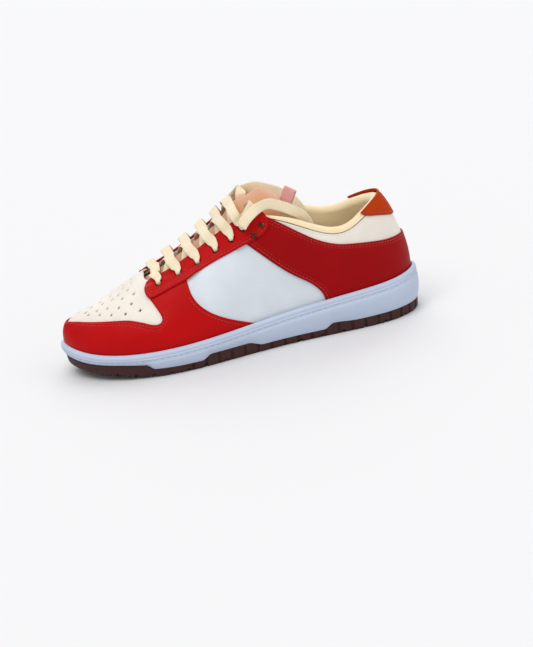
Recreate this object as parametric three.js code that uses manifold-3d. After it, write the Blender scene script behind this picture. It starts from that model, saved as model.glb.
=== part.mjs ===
// Low-top lace-up shoe, left foot, with a cup sole, leather panels, a padded collar and tongue, and a flat lace.
// Millimetres, +Z up. The toe points to -X, the heel to +X, and the outer (lateral) side to -Y.
// The shoe stands on Z = 0 with its footprint centred on the origin.
import * as THREE from "three";
import { mergeVertices } from "three/addons/utils/BufferGeometryUtils.js";
import Module from "manifold-3d";

const wasm = await Module();
wasm.setup();

// ---------------------------------------------------------------- driving sizes
const SHOE_LENGTH = 300; // toe to heel of the cup sole
const SHOE_WIDTH = 107.6; // widest place of the cup sole
const UPPER_HEIGHT = 103; // top of the heel above the floor

const LEATHER = 1.4; // outer panels
const TAPE = 0.6; // stiffening behind the eyelets and the toe
const LINING = 0.9; // textile lining
const CLEARANCE = 0.3; // air between neighbouring pieces
const COLLAR_ROLL = 4.9; // radius of the padded collar roll
const COUNTER = 1.6; // moulded heel stiffener

const EYELET_DIAMETER = 5.0;
const INNER_HOLE_DIAMETER = 6.4; // the same holes in the layers behind the eyestay
const PERFORATION_DIAMETER = 2.2;

const OUTSOLE_PLATE = 4.0; // rubber under the foot
const CUP_FLOOR = 2.2; // floor of the white cup
const BOARD = 2.0; // insole board
const SOCKLINER = 4.0;
const TREAD_DEPTH = 2.2;
const TREAD_WIDTH = 3.0;
const TOE_SPRING = 10; // lift of the toe tip
const TOE_SPRING_START = -50; // x where the sole starts to rise
const LIP_TUCK = 7; // how deep the upper sits behind the sole's lip
const LIP_WALL = 5.3; // from the sole outline to the outer face of the overlays
const UPPER_INSET = LIP_WALL + 2 * LEATHER + CLEARANCE; // to the upper's innermost leather face

const TONGUE_SHELL = 1.2;
const TONGUE_FOAM = 3.6;
const TONGUE_DROP = 4.6; // tongue face below the outer leather's inner face

const LACE_WIDTH = 7.4;
const LACE_THICKNESS = 1.3;
const LACE_BUNCHED = 3.6; // lace width where it passes an eyelet
const AGLET_LENGTH = 20;
const AGLET_DIAMETER = 2.6;

// ---------------------------------------------------------------- the last: stations round the shoe
// Station 0 is the back of the heel, 1 to 6 run along the lateral side, 7 is the toe tip,
// and 8 to 13 come back along the medial side. Drawn for a 300 x 107.6 sole, 103 high at the heel.
const STATIONS = 14;
const lengthScale = SHOE_LENGTH / 300;
const widthScale = SHOE_WIDTH / 107.6;
const heightScale = UPPER_HEIGHT / 103;

const bothSides = (values) => [...values, ...values.slice(1, 7).reverse()];
const opposite = (values) => [...values.map((v) => -v), ...values.slice(1, 7).reverse()];

// A closed cubic spline through one value at each station.
function throughStations(values) {
  const n = values.length;
  let knots = [...values];
  for (let pass = 0; pass < 60; pass++)
    knots = values.map((v, i) => (6 * v - knots[(i + n - 1) % n] - knots[(i + 1) % n]) / 4);
  return (u) => {
    const i = Math.floor(u);
    const t = u - i;
    const at = (k) => knots[(((i + k) % n) + n) % n];
    return (
      ((1 - t) ** 3 * at(-1) +
        (3 * t ** 3 - 6 * t ** 2 + 4) * at(0) +
        (-3 * t ** 3 + 3 * t ** 2 + 3 * t + 1) * at(1) +
        t ** 3 * at(2)) / 6
    );
  };
}

const soleX = throughStations(
  [150, 127, 80, 22, -40, -92, -132, -150, -135, -91, -38, 22, 80, 127].map((x) => x * lengthScale));
const soleY = throughStations(
  [1, -31, -38.5, -40.5, -52, -50, -27, 11, 43, 54, 50, 39, 37.5, 32].map((y) => y * widthScale));
const lipHeight = throughStations(bothSides([36.5, 34.5, 31.5, 26.5, 22.5, 21.5, 23.5, 27]));
const topX = throughStations(
  bothSides([125, 107.5, 76, 24, -26, -72, -105, -134]).map((x) => x * lengthScale));
const topMiddle = throughStations(bothSides([1, 1, 0, 0, 2, 5, 8, 10]).map((y) => y * widthScale));
const topHalfGap = throughStations(opposite([0, 23, 31, 23, 12, 0, 0, 0]).map((y) => y * widthScale));
const topZ = throughStations(
  [103, 95, 89.5, 114, 95.5, 73, 57.5, 47.5, 57.5, 73, 95.5, 115, 94, 96].map((z) => z * heightScale));
// Handles of the wall's curve: how far it leaves the sole and reaches the top line.
const lowOut = throughStations(bothSides([3, 2, 0, 1, 4, 5, 5, 5]));
const lowUp = throughStations(bothSides([25, 24, 22, 32, 30, 26, 20, 14]).map((z) => z * heightScale));
const highOut = throughStations(bothSides([14, 9.5, 3, 8, 17, 30, 18, 8]).map((y) => y * widthScale));
const highDown = throughStations(bothSides([24, 22, 20, 28, 14, 3, 6, 3]).map((z) => z * heightScale));

const V = (x, y, z) => new THREE.Vector3(x, y, z);
const UP = V(0, 0, 1);
const mix = (a, b, t) => a + (b - a) * t;
const smooth = THREE.MathUtils.smoothstep;

// Outward direction of the sole outline, in plan.
function outward(u) {
  const step = 1e-3;
  const along = V(soleX(u + step) - soleX(u - step), soleY(u + step) - soleY(u - step), 0).normalize();
  return V(-along.y, along.x, 0);
}
const outlinePoint = (u, inset, z) =>
  V(soleX(u), soleY(u), z).addScaledVector(outward(u), -inset);

function topPoint(u) {
  const around = ((u % STATIONS) + STATIONS) % STATIONS;
  const gap = topHalfGap(u);
  const held = around <= STATIONS / 2 ? Math.min(gap, 0) : Math.max(gap, 0);
  return V(topX(u), topMiddle(u) + held, topZ(u));
}

// The outer leather's inner face: u round the shoe, v from the tucked edge (0) to the top line (1).
function wallPoint(u, v) {
  const n = outward(u);
  const foot = outlinePoint(u, UPPER_INSET, lipHeight(u) - LIP_TUCK);
  const top = topPoint(u);
  const low = foot.clone().addScaledVector(n, lowOut(u)).addScaledVector(UP, lowUp(u));
  const high = top.clone().addScaledVector(n, highOut(u)).addScaledVector(UP, -highDown(u));
  return new THREE.CubicBezierCurve3(foot, low, high, top).getPoint(v);
}
function wallNormal(u, v) {
  const step = 1e-3;
  const across = wallPoint(u + step, v).sub(wallPoint(u - step, v));
  const up = new THREE.Vector3().subVectors(wallPoint(u, v + step), wallPoint(u, v - step));
  return up.cross(across).normalize();
}

// Every layer uses the same grid of facets, so stacked layers keep their distance.
const GRID_U = 1 / 3;
const GRID_COLUMNS = 42; // GRID_U times this goes once round
const GRID_V = 1 / 12;
const gridNodes = new Map();
function gridNode(i, j) {
  const key = (((i % GRID_COLUMNS) + GRID_COLUMNS) % GRID_COLUMNS) + ":" + j;
  if (!gridNodes.has(key)) {
    const [u, v] = [i * GRID_U, j * GRID_V];
    gridNodes.set(key, [wallPoint(u, v), wallNormal(u, v)]);
  }
  return gridNodes.get(key);
}
// A point of the facetted wall, w millimetres outside the leather's inner face.
// w can be a function of u and v, which is then read at the grid's nodes.
function wall(u, v, w) {
  const [i, j] = [Math.floor(u / GRID_U + 1e-9), Math.min(Math.floor(v / GRID_V + 1e-9), 11)];
  const [s, t] = [u / GRID_U - i, v / GRID_V - j];
  const corners = s > t
    ? [[i, j, 1 - s], [i + 1, j, s - t], [i + 1, j + 1, t]]
    : [[i, j, 1 - t], [i, j + 1, t - s], [i + 1, j + 1, s]];
  const point = V(0, 0, 0);
  for (const [a, b, share] of corners) {
    const [p, n] = gridNode(a, b);
    const offset = typeof w === "function" ? w(a * GRID_U, b * GRID_V) : w;
    point.addScaledVector(p, share).addScaledVector(n, offset * share);
  }
  return point;
}

// ---------------------------------------------------------------- solids from grids and cuts
function solidFrom(points, faces) {
  const geometry = new THREE.BufferGeometry();
  geometry.setAttribute("position", new THREE.Float32BufferAttribute(points.flatMap((p) => [p.x, p.y, p.z]), 3));
  geometry.setIndex(faces.flat());
  return geometry;
}
function toManifold(geometry) {
  const bare = geometry.clone();
  bare.deleteAttribute("normal");
  bare.deleteAttribute("uv");
  const merged = mergeVertices(bare, 1e-4);
  return new wasm.Manifold(new wasm.Mesh({
    numProp: 3,
    vertProperties: new Float32Array(merged.attributes.position.array),
    triVerts: new Uint32Array(merged.index.array),
  }));
}
function fromManifold(solid) {
  const mesh = solid.getMesh();
  const geometry = new THREE.BufferGeometry();
  geometry.setAttribute("position", new THREE.BufferAttribute(new Float32Array(mesh.vertProperties), 3));
  geometry.setIndex(new THREE.BufferAttribute(new Uint32Array(mesh.triVerts), 1));
  return geometry;
}

// A flat slab over a grid of columns and rows, as thick as layer = 0 to 1, with a slight dish so that
// no two of its cells are in one plane and a cut keeps every cell.
const PLAN_U = 50;
const PLAN_V = 100;
const LAYER = 10;
const dish = (x, y) => 4e-4 * ((x - 7 * PLAN_U) ** 2 + y * y + (x - 7 * PLAN_U) * y);
function slab(uMin, uMax, vMin, vMax, finer) {
  const [du, dv] = [GRID_U / finer, GRID_V / finer];
  const [i0, i1] = [Math.floor(uMin / du + 1e-6), Math.ceil(uMax / du - 1e-6)];
  const [j0, j1] = [Math.floor(vMin / dv + 1e-6), Math.ceil(vMax / dv - 1e-6)];
  const [columns, rows] = [i1 - i0, j1 - j0];
  const points = [];
  for (let layer = 0; layer < 2; layer++)
    for (let j = 0; j <= rows; j++)
      for (let i = 0; i <= columns; i++) {
        const [x, y] = [(i0 + i) * du * PLAN_U, (j0 + j) * dv * PLAN_V];
        points.push(V(x, y, layer * LAYER + dish(x, y)));
      }
  const at = (i, j, layer) => layer * (columns + 1) * (rows + 1) + j * (columns + 1) + i;
  const faces = [];
  for (let j = 0; j < rows; j++)
    for (let i = 0; i < columns; i++) {
      const [a, b, c, d] = [at(i, j, 1), at(i + 1, j, 1), at(i + 1, j + 1, 1), at(i, j + 1, 1)];
      const [e, f, g, h] = [at(i, j, 0), at(i + 1, j, 0), at(i + 1, j + 1, 0), at(i, j + 1, 0)];
      faces.push([a, b, c], [a, c, d], [e, g, f], [e, h, g]);
    }
  const side = (p, q, r, s) => faces.push([p, q, r], [p, r, s]);
  for (let i = 0; i < columns; i++) {
    side(at(i, 0, 0), at(i + 1, 0, 0), at(i + 1, 0, 1), at(i, 0, 1));
    side(at(i + 1, rows, 0), at(i, rows, 0), at(i, rows, 1), at(i + 1, rows, 1));
  }
  for (let j = 0; j < rows; j++) {
    side(at(0, j + 1, 0), at(0, j, 0), at(0, j, 1), at(0, j + 1, 1));
    side(at(columns, j, 0), at(columns, j + 1, 0), at(columns, j + 1, 1), at(columns, j, 1));
  }
  return toManifold(solidFrom(points, faces));
}
function cutter(outline) {
  const shape = new THREE.Shape(outline.map(([u, v]) => new THREE.Vector2(u * PLAN_U, v * PLAN_V)));
  const geometry = new THREE.ExtrudeGeometry(shape, { depth: 400, bevelEnabled: false });
  return toManifold(geometry.translate(0, 0, -100));
}
// A round hole of a true diameter, as its outline in u and v.
function punch([u, v], diameter, sides = 8) {
  const step = 1e-3;
  const alongU = wallPoint(u + step, v).distanceTo(wallPoint(u - step, v)) / (2 * step);
  const alongV = wallPoint(u, v + step).distanceTo(wallPoint(u, v - step)) / (2 * step);
  return Array.from({ length: sides }, (_, k) => {
    const angle = (2 * Math.PI * k) / sides;
    return [u + (Math.cos(angle) * diameter) / 2 / alongU, v + (Math.sin(angle) * diameter) / 2 / alongV];
  });
}
const otherSide = (outline) => outline.map(([u, v]) => [STATIONS - u, v]).reverse();
const range = (outline, k) => [Math.min(...outline.map((p) => p[k])), Math.max(...outline.map((p) => p[k]))];

// A panel cut flat from a slab, with its holes, then laid on the shoe.
// place(u, v, layer) gives the point at layer 0 (inner face) to 1 (outer face).
// closedRidge welds the two sides along v = 1, where a panel runs over the top of the toes.
function panel(outline, holes, place, { finer = 1, closedRidge = false, vMost = 1 } = {}) {
  const [uMin, uMax] = range(outline, 0);
  const [vMin, vTop] = range(outline, 1);
  let flat = slab(uMin, uMax, Math.max(vMin, 0), Math.min(vTop, vMost), finer).intersect(cutter(outline));
  for (const hole of holes) flat = flat.subtract(cutter(hole));
  const geometry = fromManifold(flat);
  const position = geometry.attributes.position;
  const onRidge = [];
  for (let k = 0; k < position.count; k++) {
    const [x, y, z] = [position.getX(k), position.getY(k), position.getZ(k)];
    const [u, v] = [x / PLAN_U, y / PLAN_V];
    const layer = THREE.MathUtils.clamp((z - dish(x, y)) / LAYER, 0, 1);
    let point = place(u, Math.max(v, 0), Math.abs(layer - Math.round(layer)) < 0.02 ? Math.round(layer) : layer);
    onRidge.push(closedRidge && v > 1 - 1e-5);
    if (onRidge[k]) point = point.add(place(STATIONS - u, v, Math.round(layer))).multiplyScalar(0.5);
    position.setXYZ(k, point.x, point.y, point.z);
  }
  if (!closedRidge) return facingOut(geometry);
  const kept = [];
  const index = geometry.index.array;
  for (let k = 0; k < index.length; k += 3) {
    const face = [index[k], index[k + 1], index[k + 2]];
    if (!face.every((corner) => onRidge[corner])) kept.push(...face);
  }
  geometry.setIndex(kept);
  return facingOut(mergeVertices(geometry, 1e-3));
}
const between = (inner, outer) => (u, v, layer) => wall(u, v, mix(inner, outer, layer));

// ---------------------------------------------------------------- layers of the upper
const BASE = [0, LEATHER];
const OVERLAY = [LEATHER + CLEARANCE, 2 * LEATHER + CLEARANCE];
const STEP_UP = LEATHER + CLEARANCE; // an overlay that passes over another overlay rises by this
const BEHIND = [-CLEARANCE - TAPE, -CLEARANCE];
const VAMP_LINING = [BEHIND[0] - CLEARANCE - LINING, BEHIND[0] - CLEARANCE];

// ---------------------------------------------------------------- outlines, lateral side, in u and v
const eyelets = [[4.68, 0.685], [4.37, 0.705], [4.06, 0.735], [3.75, 0.765], [3.48, 0.79], [3.28, 0.845]];
const spareHoles = [[2.99, 0.85], [3.13, 0.765]];
const throatEdge = [
  [2.98, 0.995], [3.1, 0.985], [3.3, 0.945], [3.55, 0.925], [3.88, 0.895], [4.18, 0.855], [4.46, 0.815],
  [4.66, 0.795], [4.84, 0.795], [4.94, 0.83], [5.0, 0.9], [5.03, 1.05],
];
const eyestayOutline = [
  ...throatEdge.slice(0, 9), [4.92, 0.765], [4.925, 0.7], [4.9, 0.62], [4.82, 0.555], [4.62, 0.575],
  [4.42, 0.6], [4.24, 0.61], [4.06, 0.65], [3.82, 0.672], [3.52, 0.68], [3.26, 0.705],
  [3.08, 0.735], [2.93, 0.79], [2.86, 0.88], [2.9, 0.96],
];
const toeBoxTail = [
  [4.84, 0.79], [4.79, 0.73], [4.68, 0.62], [4.57, 0.46], [4.51, 0.36], [4.52, 0.27], [4.8, 0.26],
  [5.2, 0.35], [5.5, 0.39], [5.86, 0.44], [6.2, 0.5], [6.6, 0.57],
];
const toeBoxSide = [[5.03, 1.05], [5.0, 0.9], [4.94, 0.83], ...toeBoxTail];
const toeBoxOutline = [...toeBoxSide, [7, 0.61], ...otherSide(toeBoxSide)];

const toeOverlaySide = [
  [3.05, 0], [3.42, 0.11], [3.7, 0.205], [3.9, 0.29], [4.06, 0.38], [4.18, 0.485], [4.24, 0.61],
  [4.28, 0.66], [4.5, 0.65], [4.72, 0.62], [4.86, 0.6], [4.8, 0.54], [4.66, 0.41], [4.62, 0.36],
  [4.63, 0.325], [4.7, 0.315], [4.8, 0.33], [4.92, 0.365], [5.06, 0.4], [5.2, 0.435], [5.5, 0.475],
  [5.86, 0.52], [6.2, 0.575], [6.52, 0.65], [6.8, 0.708],
];
const toeOverlayOutline = [...toeOverlaySide, [7, 0.724], ...otherSide(toeOverlaySide)];

const quarterOutline = [
  [3.04, 0.905], [3.3, 0.93], [3.55, 0.91], [3.88, 0.88], [4.18, 0.84], [4.46, 0.8], [4.65, 0.78],
  [4.62, 0.74], [4.52, 0.62], [4.4, 0.45], [4.3, 0.36], [4.15, 0.27], [3.95, 0.18], [3.75, 0.09],
  [3.6, 0], [2.0, 0], [2.0, 0.24], [2.2, 0.34], [2.5, 0.4], [2.75, 0.5], [2.92, 0.62], [3.05, 0.78],
];
const collarEdge = 11 / 12; // where the padded roll starts
const collarPanelOutline = [
  [0.006, 0.38], [0.4, 0.38], [0.8, 0.4], [1.1, 0.44], [1.5, 0.5], [1.9, 0.54], [2.3, 0.57], [2.6, 0.62],
  [2.8, 0.71], [2.96, 0.84], [2.98, collarEdge - 0.008], [0.006, collarEdge - 0.008],
];
const bandOutline = [
  [0.006, 0], [2.27, 0], [2.26, 0.1], [2.28, 0.165], [2.34, 0.235], [2.44, 0.31], [2.66, 0.395],
  [2.84, 0.48], [3.06, 0.595], [3.26, 0.705], [3.3, 0.73], [3.2, 0.8], [3.06, 0.9], [2.96, 0.945],
  [2.84, 0.92], [2.64, 0.878], [2.4, 0.835], [2.2, 0.805], [1.96, 0.785], [1.56, 0.735], [1.16, 0.635],
  [0.84, 0.555], [0.56, 0.515], [0.18, 0.482], [0.006, 0.478],
];
const tabSide = [[1.08, 0.985], [1.02, 0.94], [0.9, 0.885], [0.73, 0.835], [0.48, 0.765], [0.25, 0.712]];
const tabOutline = [...tabSide, [0, 0.695], ...tabSide.map(([u, v]) => [-u, v]).reverse()];

const liningSide = [
  [4.43, 0], [4.43, 0.79], [4.18, 0.835], [3.88, 0.875], [3.6, 0.895], [3.06, 0.9], [2.97, collarEdge],
  [2.97, 1.25],
];
const liningOutline = [...liningSide, ...liningSide.map(([u, v]) => [-u, v]).reverse()];
const vampLiningSide = [
  [5.1, 1.05], [5.06, 0.9], [5.0, 0.82], [4.88, 0.778], [4.66, 0.775], [4.5, 0.785], [4.5, 0],
];
const vampLiningOutline = [...vampLiningSide, ...otherSide(vampLiningSide)];
const puffOutline = [[5.7, 1.05], [5.6, 0.6], [5.6, 0], [8.4, 0], [8.4, 0.6], [8.3, 1.05]];
const tapeOutline = [
  [3.06, 0.93], [3.3, 0.925], [3.55, 0.905], [3.88, 0.875], [4.18, 0.835], [4.46, 0.795], [4.84, 0.77],
  [4.84, 0.64], [4.4, 0.64], [4.06, 0.67], [3.75, 0.7], [3.46, 0.72], [3.06, 0.73],
];

// Perforations of the toe box: rows that fan out from the throat, closer together towards the toe.
const perforations = [];
for (const [uFirst, uLast, vFirst, vLast, count] of [
  [5.0, 5.3, 0.5, 0.93, 5], [5.28, 5.54, 0.52, 0.94, 5], [5.6, 5.78, 0.57, 0.94, 4],
  [5.92, 6.03, 0.64, 0.94, 4], [6.26, 6.32, 0.73, 0.93, 3],
])
  for (let k = 0; k < count; k++) {
    const along = k / (count - 1);
    perforations.push([mix(uFirst, uLast, along) + (k % 2 ? 0.1 : 0), mix(vFirst, vLast, along)]);
  }
const bothSidesOf = (places) => [...places, ...places.map(([u, v]) => [STATIONS - u, v])];

// How far the eyestay rises where it passes over the toe overlay and the heel band.
function eyestayRise(u, v) {
  const side = u > STATIONS / 2 ? STATIONS - u : u;
  const overToe = smooth(side, 3.98, 4.14) * (1 - smooth(v, 0.68, 0.74));
  const bandEnd = 3.3 - 0.9 * Math.max(0, v - 0.72);
  const overBand = 1 - smooth(side, bandEnd + 0.05, bandEnd + 0.18);
  return STEP_UP * Math.max(overToe, overBand);
}
const eyestayAt = (u, v, layer) =>
  wall(u, v, mix(OVERLAY[0], OVERLAY[1], layer) + eyestayRise(u, v));

// The padded collar: how deep the lining lies behind the leather, deepest at the roll.
const rollRadius = (u) => mix(COLLAR_ROLL, 2.2, smooth(Math.abs(u), 2.35, 2.95));
function liningDepth(u, v) {
  const side = Math.abs(u);
  const base = mix(2 * CLEARANCE + COUNTER + LINING + 0.4, -VAMP_LINING[0], smooth(side, 2.6, 3.0));
  const full = mix(2 * rollRadius(u) - LEATHER, base, smooth(side, 2.95, 3.12));
  return mix(base, full, smooth(v, 0.42, 0.86));
}
function liningAt(u, v, layer) {
  if (v <= collarEdge) return wall(u, v, (a, b) => -liningDepth(a, b) + LINING * layer);
  const radius = rollRadius(u);
  const angle = Math.PI * (1 - (v - collarEdge) / (1.25 - collarEdge));
  const foot = wall(u, collarEdge, 0);
  const out = wall(u, collarEdge, 1).sub(foot).normalize();
  const up = wall(u, 1, 0).sub(foot).normalize();
  up.addScaledVector(out, -up.dot(out)).normalize();
  const reach = radius - LINING * layer;
  return foot
    .addScaledVector(out, LEATHER - radius + reach * Math.cos(angle))
    .addScaledVector(up, reach * Math.sin(angle));
}
const foamAt = (u, v, layer) =>
  wall(u, v, (a, b) => mix(-liningDepth(a, b) + LINING + CLEARANCE, -CLEARANCE, layer));

// ---------------------------------------------------------------- tongue surface
// Across the shoe the tongue follows the eyestays below their edges and arches over the gap between them.
// along: 0 at the stitched base, 1 at the free top; across: -1 (lateral edge) to 1 (medial edge).
const TONGUE_BASE_U = 5.3;
const TONGUE_TOP_U = 3.1;
const TONGUE_FREE_START = 0.8; // share of the length that lies under the lace
const TONGUE_RUN = 27; // how far the free top runs on from the last eyelets
const TONGUE_RISE = 8; // and how far it rises
function tongueSection(u, across) {
  const reach = Math.abs(across);
  const side = across < 0 ? u : STATIONS - u;
  const edge = mix(0.78, 0.9, smooth(u, 4.8, 5.1));
  const wingV = mix(edge, edge - 0.24, (reach - 0.5) / 0.5);
  if (reach >= 0.5) return smoothWall(side, wingV, -TONGUE_DROP);
  const ends = [u, STATIONS - u].map((s) => smoothWall(s, edge, -TONGUE_DROP));
  const slopes = [u, STATIONS - u].map((s, k) =>
    smoothWall(s, edge, -TONGUE_DROP).sub(smoothWall(s, edge - 0.02, -TONGUE_DROP)).normalize());
  const handle = ends[0].distanceTo(ends[1]) * 0.42;
  return new THREE.CubicBezierCurve3(
    ends[0], ends[0].clone().addScaledVector(slopes[0], handle),
    ends[1].clone().addScaledVector(slopes[1], handle), ends[1],
  ).getPoint(across + 0.5);
}
function smoothWall(u, v, w) {
  return wallPoint(u, v).addScaledVector(wallNormal(u, v), w);
}
// How far the padding lifts the tongue's middle: a little under the lace, most behind the last crossing.
const tongueCrown = (along) =>
  2.5 * smooth(along, 0.2, 0.5) * (1 - smooth(along, 0.9, 1)) +
  9.5 * smooth(along, 0.58, 0.74) * (1 - smooth(along, 0.88, 1));
function tonguePoint(along, across) {
  const u = mix(TONGUE_BASE_U, TONGUE_TOP_U, Math.min(along / TONGUE_FREE_START, 1));
  const beyond = Math.max(along - TONGUE_FREE_START, 0) / (1 - TONGUE_FREE_START);
  const reachedTop = smooth(along, 0.7, 0.9);
  const point = tongueSection(u, across);
  const middle = tongueSection(u, 0);
  const narrow = 1 - 0.3 * beyond * beyond;
  const corner = 1 - 0.35 * across ** 4;
  point.y = middle.y + (point.y - middle.y) * narrow;
  point.z += tongueCrown(along) * mix(Math.max(0, 1 - 4 * across * across) ** 2, 1 - across * across, reachedTop);
  point.x += TONGUE_RUN * beyond * corner;
  point.z += (TONGUE_RISE * (1.5 * beyond - 0.5 * beyond ** 2) + 6 * beyond * across * across) * corner;
  return point;
}
function tongueNormal(along, across) {
  const step = 1e-2;
  const [a, b] = [Math.min(along + step, 1), Math.max(along - step, 0)];
  const alongIt = tonguePoint(a, across).sub(tonguePoint(b, across));
  const acrossIt = tonguePoint(along, Math.min(across + step, 1)).sub(tonguePoint(along, Math.max(across - step, -1)));
  return alongIt.cross(acrossIt).normalize();
}
const tongueAt = (along, across, depth) =>
  tonguePoint(along, across).addScaledVector(tongueNormal(along, across), -depth);

// A closed sheet over a grid of (along, across), between two depths.
function sheet(place, rows, columns) {
  const points = [];
  for (let layer = 0; layer < 2; layer++)
    for (let j = 0; j <= rows; j++)
      for (let i = 0; i <= columns; i++) points.push(place(j / rows, i / columns, layer));
  const at = (i, j, layer) => layer * (columns + 1) * (rows + 1) + j * (columns + 1) + i;
  const faces = [];
  const quad = (a, b, c, d) => faces.push([a, b, c], [a, c, d]);
  for (let j = 0; j < rows; j++)
    for (let i = 0; i < columns; i++) {
      quad(at(i, j, 0), at(i, j + 1, 0), at(i + 1, j + 1, 0), at(i + 1, j, 0));
      quad(at(i, j, 1), at(i + 1, j, 1), at(i + 1, j + 1, 1), at(i, j + 1, 1));
    }
  for (let i = 0; i < columns; i++) {
    quad(at(i, 0, 1), at(i, 0, 0), at(i + 1, 0, 0), at(i + 1, 0, 1));
    quad(at(i + 1, rows, 1), at(i + 1, rows, 0), at(i, rows, 0), at(i, rows, 1));
  }
  for (let j = 0; j < rows; j++) {
    quad(at(0, j + 1, 1), at(0, j + 1, 0), at(0, j, 0), at(0, j, 1));
    quad(at(columns, j, 1), at(columns, j, 0), at(columns, j + 1, 0), at(columns, j + 1, 1));
  }
  return facingOut(solidFrom(points, faces));
}
// Turns a closed surface's faces outwards, whichever way its grid ran.
function facingOut(geometry) {
  if (toManifold(geometry).volume() > 0) return geometry;
  const index = geometry.index.array;
  for (let k = 0; k < index.length; k += 3) [index[k + 1], index[k + 2]] = [index[k + 2], index[k + 1]];
  return geometry;
}

// ---------------------------------------------------------------- sole
const soleBottom = (x) =>
  TOE_SPRING * Math.max(0, (TOE_SPRING_START * lengthScale - x) / ((150 + TOE_SPRING_START) * lengthScale)) ** 2;
// Height of the brown outsole's side: it steps down twice along the white wall.
function sideHeight(x) {
  const fromToe = 0.5 + x / SHOE_LENGTH;
  const frontStep = smooth(fromToe, 0.2, 0.225) * (1 - smooth(fromToe, 0.355, 0.385));
  const rearStep = smooth(fromToe, 0.485, 0.53) * (1 - smooth(fromToe, 0.7, 0.73));
  return mix(7.2, 9.8, smooth(fromToe, 0.02, 0.16)) - 3.8 * frontStep - 4 * rearStep - 1.4 * smooth(fromToe, 0.73, 0.8);
}
// A closed body of rings round the outline: each ring is [inset, z(u, point)], bottom ring first, and the
// first and last rings are closed by strips that run from the lateral to the medial side.
function ringBody(rings, firstU = 0, lastU = 7) {
  const steps = Math.round((lastU - firstU) / GRID_U);
  const across = 6;
  const points = [];
  const index = new Map();
  const ringPoint = (ring, u) => {
    const point = outlinePoint(u, ring[0], 0);
    point.z = ring[1](u, point.x);
    return point;
  };
  const vertex = (r, k, i) => {
    const key = r + ":" + k + ":" + i;
    if (!index.has(key)) {
      const s = firstU + (k * (lastU - firstU)) / steps;
      const lateral = ringPoint(rings[r], s);
      const medial = ringPoint(rings[r], STATIONS - s);
      index.set(key, points.push(lateral.lerp(medial, i / across)) - 1);
    }
    return index.get(key);
  };
  const faces = [];
  const quad = (a, b, c, d) => faces.push([a, b, c], [a, c, d]);
  const last = rings.length - 1;
  for (let k = 0; k < steps; k++) {
    for (let i = 0; i < across; i++) {
      quad(vertex(0, k, i), vertex(0, k + 1, i), vertex(0, k + 1, i + 1), vertex(0, k, i + 1));
      quad(vertex(last, k, i), vertex(last, k, i + 1), vertex(last, k + 1, i + 1), vertex(last, k + 1, i));
    }
    for (let r = 0; r < last; r++) {
      quad(vertex(r, k, 0), vertex(r + 1, k, 0), vertex(r + 1, k + 1, 0), vertex(r, k + 1, 0));
      quad(vertex(r, k, across), vertex(r, k + 1, across), vertex(r + 1, k + 1, across), vertex(r + 1, k, across));
    }
  }
  for (const [k, turned] of [[0, false], [steps, true]])
    for (let r = 0; r < last; r++)
      for (let i = 0; i < across; i++) {
        const corners = [vertex(r, k, i), vertex(r, k, i + 1), vertex(r + 1, k, i + 1), vertex(r + 1, k, i)];
        quad(...(turned ? corners.reverse() : corners));
      }
  const merged = mergeVertices(solidFrom(points, faces), 1e-3);
  const kept = [];
  const order = merged.index.array;
  for (let k = 0; k < order.length; k += 3) {
    const [a, b, c] = [order[k], order[k + 1], order[k + 2]];
    if (a !== b && b !== c && a !== c) kept.push(a, b, c);
  }
  merged.setIndex(kept);
  return facingOut(merged);
}

const plateTop = (u, x) => soleBottom(x) + OUTSOLE_PLATE;
const sideTop = (u, x) => soleBottom(x) + sideHeight(x);
const lip = (drop) => (u) => lipHeight(u) - drop;
const wallShare = (share) => (u, x) => mix(sideTop(u, x) + CLEARANCE, lipHeight(u), share);

let outsoleSolid = toManifold(ringBody([
  [5.2, (u, x) => soleBottom(x)],
  [4.0, (u, x) => soleBottom(x) + 1.2],
  [3.0, sideTop],
  [4.2, sideTop],
  [4.8, plateTop],
]));
const treadPlaces = [-126, -112, -98, -84, -70, -56, -42, -24, 40, 58, 76, 94, 112, 130].map((x) => x * lengthScale);
for (const x of treadPlaces) {
  const groove = new THREE.BoxGeometry(TREAD_WIDTH, SHOE_WIDTH * 1.2, 2 * TREAD_DEPTH).translate(x, 0, soleBottom(x));
  outsoleSolid = outsoleSolid.subtract(toManifold(groove));
}

const floorTop = (u, x) => soleBottom(x) + OUTSOLE_PLATE + CLEARANCE + CUP_FLOOR;
const cupGeometry = ringBody([
  [5.2, (u, x) => plateTop(u, x) + CLEARANCE],
  [4.6, (u, x) => sideTop(u, x) + CLEARANCE],
  [3.1, (u, x) => sideTop(u, x) + CLEARANCE],
  [0.9, wallShare(0.3)],
  [0, wallShare(0.62)],
  [1.0, lip(2.2)],
  [2.2, lip(0.2)],
  [3.4, lip(0)],
  [4.9, lip(LIP_TUCK + 0.8)],
  [6.8, floorTop],
]);

const featherZ = lip(LIP_TUCK);
const wedgeGeometry = ringBody([
  [8.0, (u, x) => floorTop(u, x) + CLEARANCE],
  [8.0, (u, x) => featherZ(u) - CLEARANCE - 0.1],
], 0, 6 + 1 / 3);
const boardInset = UPPER_INSET - VAMP_LINING[0] + 2.2;
const boardGeometry = ringBody([
  [boardInset, (u) => featherZ(u)],
  [boardInset, (u) => featherZ(u) + BOARD],
]);
const socklinerInset = boardInset + 2.4;
const socklinerGeometry = ringBody([
  [socklinerInset, (u) => featherZ(u) + BOARD + CLEARANCE],
  [socklinerInset - 0.4, (u) => featherZ(u) + BOARD + CLEARANCE + SOCKLINER * 0.6],
  [socklinerInset + 0.6, (u) => featherZ(u) + BOARD + CLEARANCE + SOCKLINER],
]);

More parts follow.
